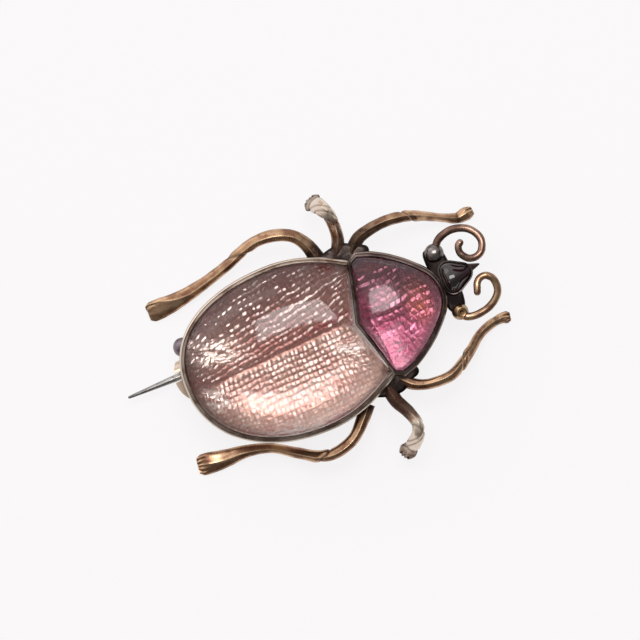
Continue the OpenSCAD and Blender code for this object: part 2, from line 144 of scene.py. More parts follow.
def thoraxOutline(behind):
    # A smooth shield from corner to corner, closed by the V
    rows = np.array([[0.11, 1.00], [0.34, 0.90], [0.60, 0.70], [0.82, 0.46], [0.95, 0.25], [1.00, 0.00]])
    rows = np.vstack([rows * [1, -1], rows[-2::-1]])
    front = spline(rows, 10) * [body["thoraxLength"], body["thoraxHalf"]] + [body["cornerX"], 0]
    line = notchLine(-behind)[::-1]
    return np.vstack([evenly(front, 120), evenly(np.vstack([front[-1:], line[:1]]), 4),
                      evenly(line[:21], 18), evenly(line[20:], 18),
                      evenly(np.vstack([line[-1:], front[:1]]), 4)])


def headOutline():
    # A circle whose radius swells three times a turn
    a = roundTurn(96)
    r = body["headRadius"] * (1 + body["headPoint"] * np.cos(3 * a))
    return headMiddle + r[:, None] * circle(a)


def clamp(value):
    return np.clip(value, 0, 1)


def bell(value):
    return np.exp(-value**2)


def fade(value, low, high):
    # 0 at low and 1 at high, straight in between
    return clamp((value - low) / (high - low))


def wobble(points, size, seed):
    # A mild unevenness: five crossed sine waves, each a little shorter and weaker than the last
    rng = np.random.default_rng(seed)
    total = np.zeros(points.shape[:-1])
    for wave in range(5):
        way = rng.normal(size=3)
        turns = points @ (way / np.linalg.norm(way)) / size * 1.5**wave
        total += np.sin(2 * np.pi * (turns + rng.uniform())) / 1.4**wave
    return total / 3


# Meshes

def newObject(name, data):
    thing = bpy.data.objects.new(name, data)
    bpy.context.scene.collection.objects.link(thing)
    return thing


def lift(outline, z):
    # An outline at one height, or at a height for each point
    return np.column_stack([outline, np.broadcast_to(z, len(outline))])


def skin(name, rings, material, slot="setting", stands="setting", rides="brooch", sharp=50, ring=False,
         **marks):
    # Quads between neighbouring rings of points; the ends close with a fan, or ring joins last to first. Each
    # mark is a mask that the mesh carries
    rings = np.asarray(rings, float)
    count, around = rings.shape[:2]
    points = rings.reshape(-1, 3)
    i = np.arange(around)
    j = np.roll(i, -1)
    here = np.arange(count if ring else count - 1)[:, None] * around
    there = (here + around) % (count * around)
    faces = np.stack([here + i, here + j, there + j, there + i], -1).reshape(-1, 4)
    fans = np.empty((0, 3), int)
    if not ring:
        last = (count - 1) * around
        points = np.vstack([points, rings[0].mean(0), rings[-1].mean(0)])
        fans = np.vstack([np.stack([0 * i + count * around, j, i], 1),
                          np.stack([0 * i + count * around + 1, last + i, last + j], 1)])
    tris = np.vstack([faces[:, [0, 1, 2]], faces[:, [0, 2, 3]], fans])
    p, q, r = (points[tris[:, k]] for k in range(3))
    if np.sum(np.cross(p, q) * r) < 0:                 # turned inside out, so every face is reversed
        faces, fans = faces[:, ::-1], fans[:, ::-1]
    mesh = bpy.data.meshes.new(name)
    mesh.from_pydata(((points + shift) * mm).tolist(), [], faces.tolist() + fans.tolist())
    for label, values in marks.items():
        values = np.broadcast_to(values, (count, around)).reshape(-1)
        values = np.r_[values, np.full(len(points) - len(values), values[-1])].astype(np.float32)
        mesh.attributes.new(label, "FLOAT", "POINT").data.foreach_set("value", values)
    mesh.shade_smooth()
    mesh.set_sharp_from_angle(angle=np.radians(sharp))
    mesh.materials.append(material)
    piece = newObject(name, mesh)
    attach(piece, rides)
    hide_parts(stands)


def along(spots):
    # Heading, sideways and up at each spot of a path; sideways stays level
    heading = unit(np.gradient(spots, axis=0))
    side = unit(np.stack([-heading[:, 1], heading[:, 0], 0 * heading[:, 0]], 1))
    return heading, side, np.cross(heading, side)


# Finishes

def socketGroup(name, inputs, outputs):
    # A node group with named sockets: (name, kind, value)
    group = bpy.data.node_groups.new(name, "ShaderNodeTree")
    for label, kind, value in inputs:
        socket = group.interface.new_socket(label, in_out="INPUT", socket_type="NodeSocket" + kind)
        socket.default_value = value
    for label, kind in outputs:
        group.interface.new_socket(label, in_out="OUTPUT", socket_type="NodeSocket" + kind)
    return group, group.nodes.new("NodeGroupInput"), group.nodes.new("NodeGroupOutput")


def put(tree, kind, links=None, sockets=None, **values):
    # A node with its settings, its socket values, and what feeds its sockets
    node = tree.nodes.new(kind)
    for key, value in values.items():
        setattr(node, key, value)
    for socket, value in (sockets or {}).items():
        node.inputs[socket].default_value = value
    for socket, source in (links or {}).items():
        tree.links.new(source, node.inputs[socket])
    return node


def feed(tree, node, sources):
    # Each source is a socket to link or a value to set
    for socket, source in sources.items():
        if isinstance(source, bpy.types.NodeSocket):
            tree.links.new(source, node.inputs[socket])
        else:
            node.inputs[socket].default_value = source


def mixColour(tree, share, first, second):
    node = put(tree, "ShaderNodeMix", data_type="RGBA")
    feed(tree, node, {0: share, 6: first, 7: second})
    return node.outputs[2]


def ramp(tree, source, low, high, least=0.0, most=1.0):
    # Smooth from least at low to most at high
    node = put(tree, "ShaderNodeMapRange", interpolation_type="SMOOTHSTEP")
    feed(tree, node, {"Value": source, "From Min": low, "From Max": high, "To Min": least, "To Max": most})
    return node.outputs["Result"]


def maths(tree, operation, first, second):
    node = put(tree, "ShaderNodeMath", operation=operation, use_clamp=True)
    feed(tree, node, {0: first, 1: second})
    return node.outputs[0]


def weighted(tree, *terms):
    # Sources times their weights, added up and held between 0 and 1 at each step
    total = None
    for source, weight in terms:
        term = source if weight == 1 else maths(tree, "MULTIPLY", source, weight)
        total = term if total is None else maths(tree, "ADD", total, term)
    return total


def noise(tree, place, scale, detail=4.0, roughness=0.6):
    node = put(tree, "ShaderNodeTexNoise", {"Vector": place}, {"Detail": detail, "Roughness": roughness})
    feed(tree, node, {"Scale": scale})
    return node.outputs["Fac"]


def mark(tree, name):
    # A mask that a piece's mesh carries; 0 where the mesh has none
    return put(tree, "ShaderNodeAttribute", attribute_name=name).outputs["Fac"]


def agedMetal():
    # Bright metal where it is worn and where a highlight is painted, a duller tone in patches and in streaks
    # along a bar, grime in hollows and painted shade where the mesh says
    group, inside, outside = socketGroup("agedMetal", [
        ("Bright", "Color", (0.8, 0.6, 0.4, 1)), ("Dull", "Color", (0.3, 0.2, 0.1, 1)),
        ("Grime", "Color", (0.05, 0.03, 0.02, 1)), ("Wear", "Float", 0.0), ("Dirt", "Float", 0.0),
        ("Run", "Float", 0.0), ("Round", "Float", 0.0), ("Patch Scale", "Float", 600.0),
        ("Brightness", "Float", 0.4)],
        [("Color", "Color"), ("Roughness", "Float"), ("Height", "Float")])
    given = inside.outputs
    place = put(group, "ShaderNodeTexCoord").outputs["Object"]
    patches = noise(group, place, given["Patch Scale"], 3.0)
    grains = noise(group, place, 6500.0, 3.0)
    wire = put(group, "ShaderNodeCombineXYZ")
    feed(group, wire, {"X": given["Run"], "Y": given["Round"]})
    streaks = noise(group, wire.outputs[0], 1.0, 4.0, 0.7)
    tone = weighted(group, (ramp(group, patches, 0.36, 0.64), 0.38), (ramp(group, streaks, 0.34, 0.66), 0.30),
                    (given["Wear"], 0.75), (given["Brightness"], 1))
    colour = mixColour(group, maths(group, "SUBTRACT", tone, 0.4), given["Dull"], given["Bright"])
    stains = ramp(group, weighted(group, (patches, 0.7), (grains, 0.3)), 0.54, 0.40, 0.0, 0.35)
    dirty = maths(group, "MULTIPLY", stains, maths(group, "SUBTRACT", 1.0, given["Wear"]))
    dirty = maths(group, "ADD", dirty, given["Dirt"])
    # Grime and painted shade both darken the metal towards its darkest tone
    colour = mixColour(group, dirty, colour, given["Grime"])
    rough = weighted(group, (ramp(group, dirty, 0.0, 1.0, 0.20, 0.50), 1), (grains, 0.10))
    tall = weighted(group, (grains, 0.35), (streaks, 0.4), (patches, 0.25))
    for label, source in (("Color", colour), ("Roughness", rough), ("Height", tall)):
        group.links.new(source, outside.inputs[label])
    return group


agedMetalGroup = agedMetal()


def newMaterial(name):
    material = bpy.data.materials.new(name)
    material.use_nodes = True
    return material, material.node_tree, material.node_tree.nodes["Principled BSDF"]


def metal(name, bright, dull, grime, patchScale=420.0, brightness=0.4, bump=0.2, metallic=1.0):
    # Aged metal in three tones; the mesh carries its wear and painted highlights, its dirt and painted shade,
    # and the run of its bars
    material, tree, shader = newMaterial(name)
    aged = put(tree, "ShaderNodeGroup", node_tree=agedMetalGroup)
    feed(tree, aged, {"Bright": (*bright, 1), "Dull": (*dull, 1), "Grime": (*grime, 1),
                      "Patch Scale": patchScale, "Brightness": brightness})
    feed(tree, aged, {label: mark(tree, label.lower()) for label in ("Wear", "Dirt", "Run", "Round")})
    bumps = put(tree, "ShaderNodeBump", {"Height": aged.outputs["Height"]},
                {"Strength": bump, "Distance": 0.00003})
    feed(tree, shader, {"Metallic": metallic, "Base Color": aged.outputs["Color"],
                        "Roughness": aged.outputs["Roughness"], "Normal": bumps.outputs["Normal"]})
    return material


def gem(name, colour, cloud, ior, rough, transmission=1.0):
    # A clear or dark stone with faint clouds in its colour
    material, tree, shader = newMaterial(name)
    place = put(tree, "ShaderNodeTexCoord").outputs["Object"]
    clouds = ramp(tree, noise(tree, place, 260.0), 0.42, 0.68)
    feed(tree, shader, {"Base Color": mixColour(tree, clouds, (*colour, 1), (*cloud, 1)),
                        "Roughness": rough, "IOR": ior, "Transmission Weight": transmission})
    return material


def foil(name, shade, lit, bare, stain, border, rough, scale, leanRate, leanStart):
    # Old tinted foil: its mesh says where light and shade are painted on it, where highlights are painted,
    # where it is stained and where it is darker at its border. Its painted highlights also lean outward, so
    # that they catch the lamps, by leanRate per metre from leanStart at the frame's origin
    material, tree, shader = newMaterial(name)
    place = put(tree, "ShaderNodeTexCoord").outputs["Object"]
    # The shade and lit tones are painted shade and painted light, mixed by the lit mark; the cream tone is a
    # painted highlight
    colour = mixColour(tree, mark(tree, "lit"), (*shade, 1), (*lit, 1))
    blots = ramp(tree, noise(tree, place, scale, 2.0), 0.50, 0.75, 0.0, 0.25)
    for share, over in ((maths(tree, "ADD", blots, mark(tree, "stain")), stain), (mark(tree, "bare"), bare),
                        (mark(tree, "border"), border)):
        colour = mixColour(tree, share, colour, (*over, 1))
    lean = put(tree, "ShaderNodeVectorMath", {0: place}, {1: (*leanRate, 0), 2: (*leanStart, 0)},
               operation="MULTIPLY_ADD")
    lean = put(tree, "ShaderNodeVectorMath", {0: lean.outputs[0], "Scale": mark(tree, "bare")},
               operation="SCALE")
    normal = put(tree, "ShaderNodeNewGeometry").outputs["Normal"]
    leant = put(tree, "ShaderNodeVectorMath", {0: normal, 1: lean.outputs[0]}, operation="ADD")
    leant = put(tree, "ShaderNodeVectorMath", {0: leant.outputs[0]}, operation="NORMALIZE")
    uneven = ramp(tree, noise(tree, place, 2400.0, 3.0), 0.35, 0.7, rough, rough + 0.12)
    feed(tree, shader, {"Base Color": colour, "Normal": leant.outputs[0], "Metallic": 0.4,
                        "Roughness": uneven})
    return material


# Each metal's bright, dull and grime-and-shade tones; each stone's tone and its clouds'; each foil's painted
# shade, painted light, painted highlight, stained and border tones
print("finishes")
bronze = metal("agedBronze", (0.90, 0.63, 0.39), (0.31, 0.135, 0.08), (0.045, 0.026, 0.02), brightness=0.36)
copper = metal("agedCopper", (0.62, 0.40, 0.30), (0.17, 0.085, 0.065), (0.035, 0.024, 0.024), brightness=0.3)
creamBronze = metal("wornBronze", (1.0, 0.93, 0.80), (0.42, 0.20, 0.10), (0.09, 0.042, 0.028),
                    brightness=0.24, metallic=0.8)
darkSolder = metal("darkSolder", (0.30, 0.235, 0.205), (0.080, 0.058, 0.052), (0.020, 0.014, 0.014),
                   brightness=0.32)
rimMetal = metal("rimSilver", (0.88, 0.80, 0.71), (0.42, 0.27, 0.18), (0.085, 0.045, 0.036), bump=0.15)
darkRim = metal("rimBrown", (0.45, 0.35, 0.31), (0.15, 0.10, 0.09), (0.050, 0.032, 0.032), brightness=0.35,
                bump=0.15)
eyeMetal = metal("eyeGrey", (0.40, 0.35, 0.33), (0.13, 0.105, 0.10), (0.022, 0.018, 0.018), brightness=0.25)
goldEye = metal("eyeGold", (0.66, 0.45, 0.25), (0.24, 0.14, 0.08), (0.03, 0.018, 0.014), brightness=0.35)
knobMetal = metal("knobGrey", (0.30, 0.24, 0.27), (0.10, 0.075, 0.09), (0.02, 0.014, 0.018))
steel = metal("pinSteel", (0.62, 0.60, 0.58), (0.30, 0.28, 0.27), (0.06, 0.05, 0.045), patchScale=900.0)
paleStone = gem("paleQuartz", (1.0, 0.95, 0.94), (0.98, 0.88, 0.89), 1.54, 0.085)
pinkStone = gem("pinkQuartz", (1.0, 0.88, 0.93), (0.98, 0.80, 0.87), 1.54, 0.10)
darkStone = gem("garnet", (0.014, 0.008, 0.009), (0.022, 0.007, 0.009), 1.76, 0.05, transmission=0.0)
paleFoil = foil("paleFoil", (0.40, 0.135, 0.105), (0.80, 0.57, 0.46), (0.98, 0.90, 0.82), (0.44, 0.06, 0.07),
                (0.36, 0.17, 0.14), 0.18, 420.0, (25.0, 55.0), (0.053, 0.19))
pinkFoil = foil("pinkFoil", (0.19, 0.033, 0.052), (0.60, 0.12, 0.24), (0.88, 0.40, 0.54), (0.72, 0.24, 0.15),
                (0.27, 0.14, 0.17), 0.20, 380.0, (80.0, 150.0), (-0.55, 0.20))


# Collets and their solder

partitionHalf = body["partition"] / 2
notchShift = body["wall"] - partitionHalf
seam = 0.02      # the collets' two outer walls meet here in the partition
abdomenEdge, thoraxEdge, headEdge = abdomenOutline(seam), thoraxOutline(seam), headOutline()
abdomenInside = movedIn(abdomenOutline(notchShift), body["wall"])
thoraxInside = movedIn(thoraxOutline(notchShift), body["wall"])
headInside = movedIn(headEdge, body["headWall"])
# 1 on the V and 0 on the open sides, by the place of a point in its outline
last = len(abdomenEdge)
abdomenV = np.interp(np.arange(last), [0, 35, 39, last - 4, last], [1, 1, 0, 0, 1])
thoraxV = np.interp(np.arange(len(thoraxEdge)), [0, 116, 124, 159, 160, 163], [0, 0, 1, 1, 0.5, 0])


def dish(name, outer, inner, profile, material, seed, middle, middleDrop=0.0):
    # A closed cup: a profile of shares of the way in and heights, carried round two outlines and shut by
    # two floors; where middle is 1 its rim is nearly flat, lower by middleDrop and darker: painted shade in
    # the groove of the V between two stones; the head's rim is darker all round but at its lower right
    share, z, worn, dirt = (profile[:, k, None] for k in range(4))
    flat = outer + share[..., None] * (inner - outer)
    drop = z.max() - z
    z = z + 0.85 * middle * drop * (drop < 0.9)
    free = clamp((z - body["plateZ"]) / 0.8)
    rings = np.concatenate([flat, (z - free * middle * middleDrop)[..., None]], 2)
    rough = wobble(rings, 3.0, seed) * 0.02
    rings[..., :2] += unit(inner - outer) * (rough * free)[..., None]
    rings[..., 2] += rough * free * 0.8
    # Where middle is 1 the bright band goes and the rim is painted darker
    worn = worn * (1 - 0.95 * middle) * clamp(0.9 + 0.5 * wobble(rings, 4.0, seed + 1))
    skin(name, rings, material, wear=worn, dirt=np.maximum(dirt, 0.65 * middle))


# rows: share of the way in, height under the top, wear, and dirt with painted shade (the dark line inside the
# bright band and the walls going down into the gaps)
rimRows = np.array([
    [0.00, 0.85, 0.0, 0.75], [0.00, 0.50, 0.3, 0.45], [0.04, 0.42, 0.9, 0.10], [0.14, 0.33, 1.0, 0.00],
    [0.26, 0.26, 1.0, 0.00], [0.36, 0.22, 0.8, 0.10], [0.41, 0.24, 0.0, 0.80], [0.46, 0.20, 0.0, 0.70],
    [0.52, 0.13, 0.1, 0.55], [0.66, 0.08, 0.1, 0.50], [0.78, 0.04, 0.1, 0.50], [0.88, 0.03, 0.1, 0.55],
    [0.95, 0.08, 0.0, 0.65], [1.00, 0.30, 0.0, 0.30]])


def colletProfile(top, rows):
    floor, back = body["plateZ"], body["backZ"]
    rim = rows * [1, -1, 1, 1] + [0, top, 0, 0]
    outside = [[1.0, back, 0, 0.5], [0.2, back, 0, 0.5], [0, back + 0.12, 0.2, 0.5], [0, back + 1.0, 0, 0.75]]
    return np.vstack([outside, rim, [[1.0, floor + 0.1, 0, 0.3], [1.2, floor, 0, 0.3]]])


dish("abdomenCollet", abdomenEdge, abdomenInside, colletProfile(body["abdomenTop"], rimRows), rimMetal, 11,
     abdomenV, 0.25)
dish("thoraxCollet", thoraxEdge, thoraxInside, colletProfile(body["thoraxTop"], rimRows), darkRim, 12,
     thoraxV, 0.05)
headRows = np.array([[0.0, 0.6, 0, 0.9], [0.0, 0.14, 0.2, 0.8], [0.25, 0.0, 1.0, 0.3], [0.6, 0.0, 1.0, 0.2],
                     [0.95, 0.10, 0, 1.0], [1.0, 0.25, 0, 1.0]])
away = headEdge - headMiddle
headBack = 1 - fade(away @ [0.39, -0.92] / np.linalg.norm(away, axis=1), 0.3, 0.8)
dish("headCollet", headEdge, headInside, colletProfile(body["headTop"], headRows), darkSolder, 13, headBack)


def outOf(points, outer, depth=0.3):
    # Points deeper than depth inside an outline go back along its way in to that depth
    way = inwards(outer)
    nearest = np.argmin(np.linalg.norm(points[:, :, None, :2] - outer, axis=-1), axis=-1)
    deep = np.sum((points[..., :2] - outer[nearest]) * way[nearest], -1)
    moved = points.copy()
    moved[..., :2] -= np.clip(deep - depth, 0, None)[..., None] * way[nearest]
    return moved


def mound(name, material, seed, rows, top, edge, grimy=0.5):
    # Solder run between other metal: an outline drawn up with a rounded shoulder into a lumpy top that
    # keeps out of the collets
    outline = spline(rows, 12, closed=True)
    middle = outline.mean(0)
    turn = np.linspace(0, np.pi / 2, 7)[1:]
    steps = [(0.0, body["backZ"]), (0.0, top - edge)]
    steps += [(edge * (1 - np.cos(a)), top - edge + edge * np.sin(a)) for a in turn]
    way = inwards(outline)
    rings = [lift(outline + d * 0.8 * way, z) for d, z in steps]
    rings += [lift(middle + share * (rings[-1][:, :2] - middle), top + 0.12 * (1 - share))
              for share in (0.8, 0.6, 0.4, 0.2)]
    rings = np.array(rings)
    free = clamp((rings[..., 2] - body["backZ"] - 0.3) / 0.5)
    rings[..., 2] += free * wobble(rings, 3.5, seed) * 0.06
    worn = clamp(wobble(rings, 1.6, seed + 1) * 0.9 - 0.3)
    rings = outOf(outOf(rings, abdomenEdge), thoraxEdge)
    skin(name, rings, material, sharp=180, wear=worn * (1 - grimy), dirt=clamp(grimy - worn))


shoulderY = (cornerY + body["thoraxHalf"]) / 2
shoulderRows = np.array([[0.50, 0.96], [0.62, 1.06], [0.80, 1.16], [1.00, 1.18], [1.13, 1.07], [1.24, 1.01],
                         [1.10, 0.82], [0.90, 0.87], [0.55, 0.89]]) * [body["cornerX"], shoulderY]
neckRows = np.array([[0.03, 1.20], [-0.50, 1.06], [-0.45, 0.1], [-0.29, -0.78], [0.19, -1.02], [0.72, -0.86],
                     [0.88, -0.26], [0.78, 0.63], [0.61, 1.03]]) * [body["headRadius"], body["eyeOut"]]
mounds = {
    "leftShoulder": {"rows": shoulderRows, "top": body["solderTop"] - 0.05, "edge": 0.6},
    "rightShoulder": {"rows": shoulderRows[::-1] * [1, -1], "top": body["solderTop"] - 0.10, "edge": 0.6},
    "neckSolder": {"rows": neckRows + [body["noseX"], body["headLean"]], "top": body["solderTop"] + 0.3,
                   "edge": 0.45, "grimy": 0.85},
}
for seed, (name, style) in enumerate(mounds.items(), 21):
    mound(name, darkSolder, seed, **style)
print("collets and solder")


# Legs

legSizes = {"width": 1.4, "depth": 1.15, "rise": 3.9, "steps": 16}
legKinds = {
    "Hind": {"reach": -19.4, "bow": 4.2, "material": bronze},
    "Mid": {"reach": -7.0, "bow": 7.0, "material": creamBronze},
    "Front": {"reach": 13.4, "bow": 1.7, "material": bronze},
}
# ridge: share of the way, place across. knots: share, slant, length, swell. rows: reach along, reach out,
# lift of the underside, width and depth, as shares of the sizes above
legs = {
    "leftHind": {
        "root": onFlank(0.66), "toes": (5, 0.5), "dark": (0.02, 0.20),
        "ridge": [(0, 0.1), (0.45, 0.25), (0.72, 0.20), (0.88, -0.7), (1, -0.8)],
        "knots": [(0.50, -0.03, 0.01, -0.16), (0.475, -0.03, 0.02, 0.10)],
        "rows": [[0, -0.06, 0.8, 1.3, 1.15], [0.03, 0.42, 0.86, 1.1, 1.05], [0.09, 0.78, 0.94, 1, 1],
                 [0.2, 0.98, 1, 0.98, 1], [0.33, 0.97, 0.9, 0.93, 1], [0.5, 0.7, 0.6, 0.9, 0.95],
                 [0.66, 0.5, 0.28, 1, 0.9], [0.82, 0.37, 0.06, 1.3, 0.85], [0.93, 0.345, 0, 1.62, 0.8],
                 [0.985, 0.345, 0, 1.6, 0.6]]},
    "rightHind": {
        "root": onFlank(0.54), "spread": 0.92, "toes": (5, 0.5), "dark": (0, 0.12),
        "ridge": [(0, 0.1), (0.6, 0.3), (1, 0)],
        "knots": [(0.36, 0.03, 0.01, -0.14), (0.385, 0.03, 0.02, 0.10)],
        "rows": [[0, -0.06, 0.8, 1.25, 1.15], [0.06, 0.3, 0.86, 1.05, 1.05], [0.15, 0.7, 0.92, 0.95, 1],
                 [0.27, 0.88, 0.9, 0.93, 1], [0.37, 0.78, 0.7, 0.93, 1], [0.48, 0.44, 0.44, 0.88, 0.95],
                 [0.6, 0.06, 0.24, 0.78, 0.9], [0.74, -0.13, 0.1, 1.02, 0.85],
                 [0.88, -0.17, 0.01, 1.48, 0.8], [0.96, -0.22, 0, 1.7, 0.75], [1, -0.25, 0, 1.65, 0.6]]},
    "leftMid": {
        "root": (0.90 * body["cornerX"], shoulderY + 0.7), "toes": (4, 0.4), "dark": (0.05, 0.28),
        "pale": (0.40, 0.50), "ridge": [(0, 0.2), (0.5, -0.4), (1, 0.3)],
        "knots": [(0.44, 0.08, 0.03, -0.12), (0.58, 0.14, 0.02, -0.10), (0.70, 0.14, 0.02, -0.08),
                  (0.85, 0, 0.02, -0.16), (0.93, 0, 0.04, 0.12)],
        "rows": [[0, 0, 0.8, 1.15, 1.15], [-0.1, 0.22, 0.95, 1, 1.05], [-0.13, 0.44, 1.3, 0.98, 1],
                 [-0.12, 0.62, 1.58, 1.05, 1], [-0.05, 0.77, 1.52, 1.2, 0.95], [0.02, 0.88, 1.05, 1.4, 0.85],
                 [0.06, 0.95, 0.52, 1.4, 0.7]]},
    "rightMid": {
        "root": (0.86 * body["cornerX"], shoulderY + 0.9), "toes": (4, 0.5), "dark": (0.36, 0.50),
        "pale": (0.44, 0.52), "ridge": [(0, -0.2), (0.6, 0.3), (1, 0)],
        "knots": [(0.55, 0.06, 0.02, -0.12), (0.66, -0.14, 0.02, -0.10), (0.75, -0.14, 0.02, -0.08),
                  (0.84, 0, 0.02, -0.16), (0.93, 0, 0.04, 0.10)],
        "rows": [[0, -0.05, 0.8, 1.25, 1.15], [-0.03, 0.2, 0.92, 1.12, 1.05], [-0.14, 0.44, 1.28, 1, 1],
                 [-0.2, 0.66, 1.55, 0.95, 1], [-0.14, 0.84, 1.45, 1.05, 0.95],
                 [0.02, 0.97, 0.95, 1.25, 0.85], [0.14, 1.04, 0.48, 1.3, 0.7]]},
    "leftFront": {
        "root": (1.11 * body["cornerX"], shoulderY + 0.5), "dark": (0.05, 0.45),
        "ridge": [(0, 0.1), (0.5, 0), (1, 0)],
        "knots": [(0.46, -0.04, 0.01, -0.16), (0.49, -0.04, 0.02, 0.10), (0.80, 0, 0.02, -0.08)],
        "rows": [[-0.02, -0.1, 0.8, 1.2, 1.15], [0.07, 0.6, 0.88, 1.05, 1.05], [0.19, 0.88, 0.96, 0.98, 1],
                 [0.33, 0.97, 1, 0.92, 1], [0.45, 0.86, 0.94, 0.9, 1], [0.56, 0.62, 0.74, 0.85, 0.95],
                 [0.67, 0.22, 0.46, 0.75, 0.9], [0.79, -0.26, 0.18, 0.68, 0.85],
                 [0.89, -0.6, 0.02, 0.9, 0.8], [0.97, -0.56, 0, 1.1, 0.75], [1, -0.54, 0, 0.95, 0.6]]},
    "rightFront": {
        "root": (1.04 * body["cornerX"], shoulderY + 0.5), "dark": (0, 0.10),
        "ridge": [(0, -0.1), (0.5, 0.2), (1, 0)],
        "knots": [(0.52, 0.04, 0.01, -0.16), (0.55, 0.04, 0.02, 0.12), (0.86, 0, 0.02, -0.10)],
        "rows": [[0, -0.1, 0.8, 1.15, 1.15], [0.08, 0.52, 0.86, 0.95, 1.05], [0.18, 0.88, 0.94, 0.85, 1],
                 [0.29, 1, 1, 0.85, 1], [0.4, 0.95, 0.96, 0.88, 1], [0.5, 0.6, 0.78, 0.85, 0.95],
                 [0.62, -0.02, 0.5, 0.8, 0.9], [0.73, -0.68, 0.24, 0.76, 0.88],
                 [0.84, -1.06, 0.06, 0.75, 0.85], [0.95, -1.2, 0, 0.82, 0.8], [1, -1.14, 0, 1, 0.6]]},
}


def keel():
    # Round a bar: the share of the way from the ridge to the rim, the side it lies on, and its height. Two
    # nearly flat facets meet in the ridge over a rounded belly
    q = np.array([1, 0.97, 0.92, 0.84, 0.74, 0.62, 0.50, 0.38, 0.27, 0.17, 0.09, 0.03, 0])
    facets = np.r_[q, q[-2::-1]]
    a = np.linspace(np.pi, 2 * np.pi, 14)[1:-1]
    tall = 1.013 - 0.55 * np.sqrt(facets**2 + 0.0006) - 0.65 * facets**8
    return (np.r_[facets, 0 * a + 1], np.r_[0 * q + 1, 0 * q[1:] - 1, np.cos(a)],
            np.r_[tall, -0.2 - 0.8 * np.abs(np.sin(a))**0.8])


def leg(name, seed, side, reach, bow, material, root, dark, ridge, knots, rows, toes=(3, 0.4), spread=1,
        pale=(2, 3)):
    # The keel carried along a spline, its ridge on its place across. Knots thicken or notch it; the foot runs
    # out into toes (how many, length) with grooves between them; it is dark up to the shares in dark and pale
    # from those in pale to the foot
    path = spline(rows, legSizes["steps"])
    share = np.linspace(0, 1, len(path))[:, None]
    spots = np.stack([root[0] + path[:, 0] * reach, side * (root[1] + path[:, 1] * (bow * spread)),
                      path[:, 2] * legSizes["rise"] + path[:, 4] * legSizes["depth"] / 2], 1)
    width, depth = path[:, 3:4] * legSizes["width"] / 2, path[:, 4:] * legSizes["depth"] / 2
    toRim, flank, tall = keel()
    across = np.interp(share, *np.transpose(ridge)) * (1 - toRim) + flank * toRim
    size, hollow = 1.0, 0.0
    for place, slant, length, swell in knots:
        lump = bell((share - place - slant * across) / length)
        size, hollow = size * (1 + swell * lump), hollow + lump * (swell < 0)
    comb = np.abs(np.sin(np.pi * toes[0] * (across + 1) / 2))**0.6
    groove = (1 - comb) * fade(share, 0.88, 0.98) * (tall > 0.1)
    heading, sideways, up = along(spots)
    rings = (spots[:, None] + (width * across * size)[..., None] * sideways[:, None]
             + (depth * tall * size - 0.18 * groove)[..., None] * up[:, None])
    rings += (rings - spots[:, None]) * (wobble(rings, 3.5, seed) * 0.04)[..., None]
    low = max(rings[..., 2].min(), 0)
    foot = heading[-1] * (depth[-1] + toes[1] * comb[-1][:, None])
    ends = [spots[-1] + (rings[-1] - spots[-1]) * small + foot * ahead
            for small, ahead in ((0.97, 0.30), (0.86, 0.60), (0.5, 0.65))]
    rings = np.concatenate([rings, ends])
    rings[..., 2] = np.maximum(rings[..., 2], low)
    length = np.r_[0, np.cumsum(np.linalg.norm(np.diff(spots, axis=0), axis=1))]
    run = np.r_[length, length[-1] + np.array([0.3, 0.6, 0.8])][:, None]
    share, hollow, across = (np.vstack([one, np.repeat(one[-1:], 3, 0)])
                             for one in (share, clamp(hollow + groove), across))
    patchy = wobble(rings, 1.6, seed + 50)
    onFoot = fade(share, 0.84, 0.90)
    # A painted highlight along the ridge, with real wear, and pale legs brighter from pale to the foot
    worn = bell(toRim / 0.12) * clamp(0.7 + 0.6 * patchy)
    worn = np.maximum(worn, fade(share, *pale) * (1 - onFoot) * clamp(1.0 + 0.9 * patchy))
    # Darker up to the shares in dark and in notches and toe grooves; painted shade on the underside of the
    # bar; the feet of pale legs are their own brown
    dirt = (0.92 * (1 - fade(share, *dark)) + 0.6 * hollow + 0.6 * fade(-tall, -0.15, 0.25)
            + 0.6 * onFoot * (pale[0] < 1))
    skin(name, rings, material, sharp=34, wear=worn, dirt=clamp(dirt), run=run * 0.3 + seed,
         round=1.6 * across)


for seed, (name, style) in enumerate(legs.items(), 31):
    side, kind = (1, name[4:]) if name.startswith("left") else (-1, name[5:])
    leg(name + "Leg", seed, side, **legKinds[kind], **style)
print("legs")


# Head: eyes, feelers, beak

def pebble(name, material, seed, spot, radius, unevenness, collar=0.0, dirtBelow=0.5, pit=None):
    # A ball from pole to pole; it swells where a sine unevenness is high, a collar rings its foot, and a
    # drilled pit (its way, angle and depth) sinks by exp(-(angle / pit angle)^4) inside a raised lip
    v = np.linspace(-np.pi / 2, np.pi / 2, 82)[1:-1, None]
    u = roundTurn(128)[None, :]
    way = np.stack([np.cos(v) * np.cos(u), np.cos(v) * np.sin(u), np.sin(v) + 0 * u], -1)
    swell = 1 + unevenness * wobble(way * radius, 1.3, seed) + collar * bell((np.sin(v) + 0.35) / 0.09)
    hole = 0
    if pit:
        toward = np.asarray(pit[:3], float) / np.linalg.norm(pit[:3])
        angle = np.arccos(np.clip(way @ toward, -1, 1))
        hole = np.exp(-(angle / pit[3])**4)
        swell = swell - pit[4] * hole + 0.12 * pit[4] * bell((angle / pit[3] - 1.5) / 0.4)
    rings = np.asarray(spot) + way * swell[..., None] * radius
    # Painted shade darkens the ball towards its foot, by dirtBelow, and inside the pit; a painted highlight
    # brightens its top
    dirt = clamp(dirtBelow * (0.5 - np.sin(v)) + 0 * u + hole)
    worn = clamp(np.sin(v)**3 * 0.6 + 0.3 * wobble(rings, 0.8, seed + 5) - hole)
    skin(name, rings, material, wear=worn, dirt=dirt)


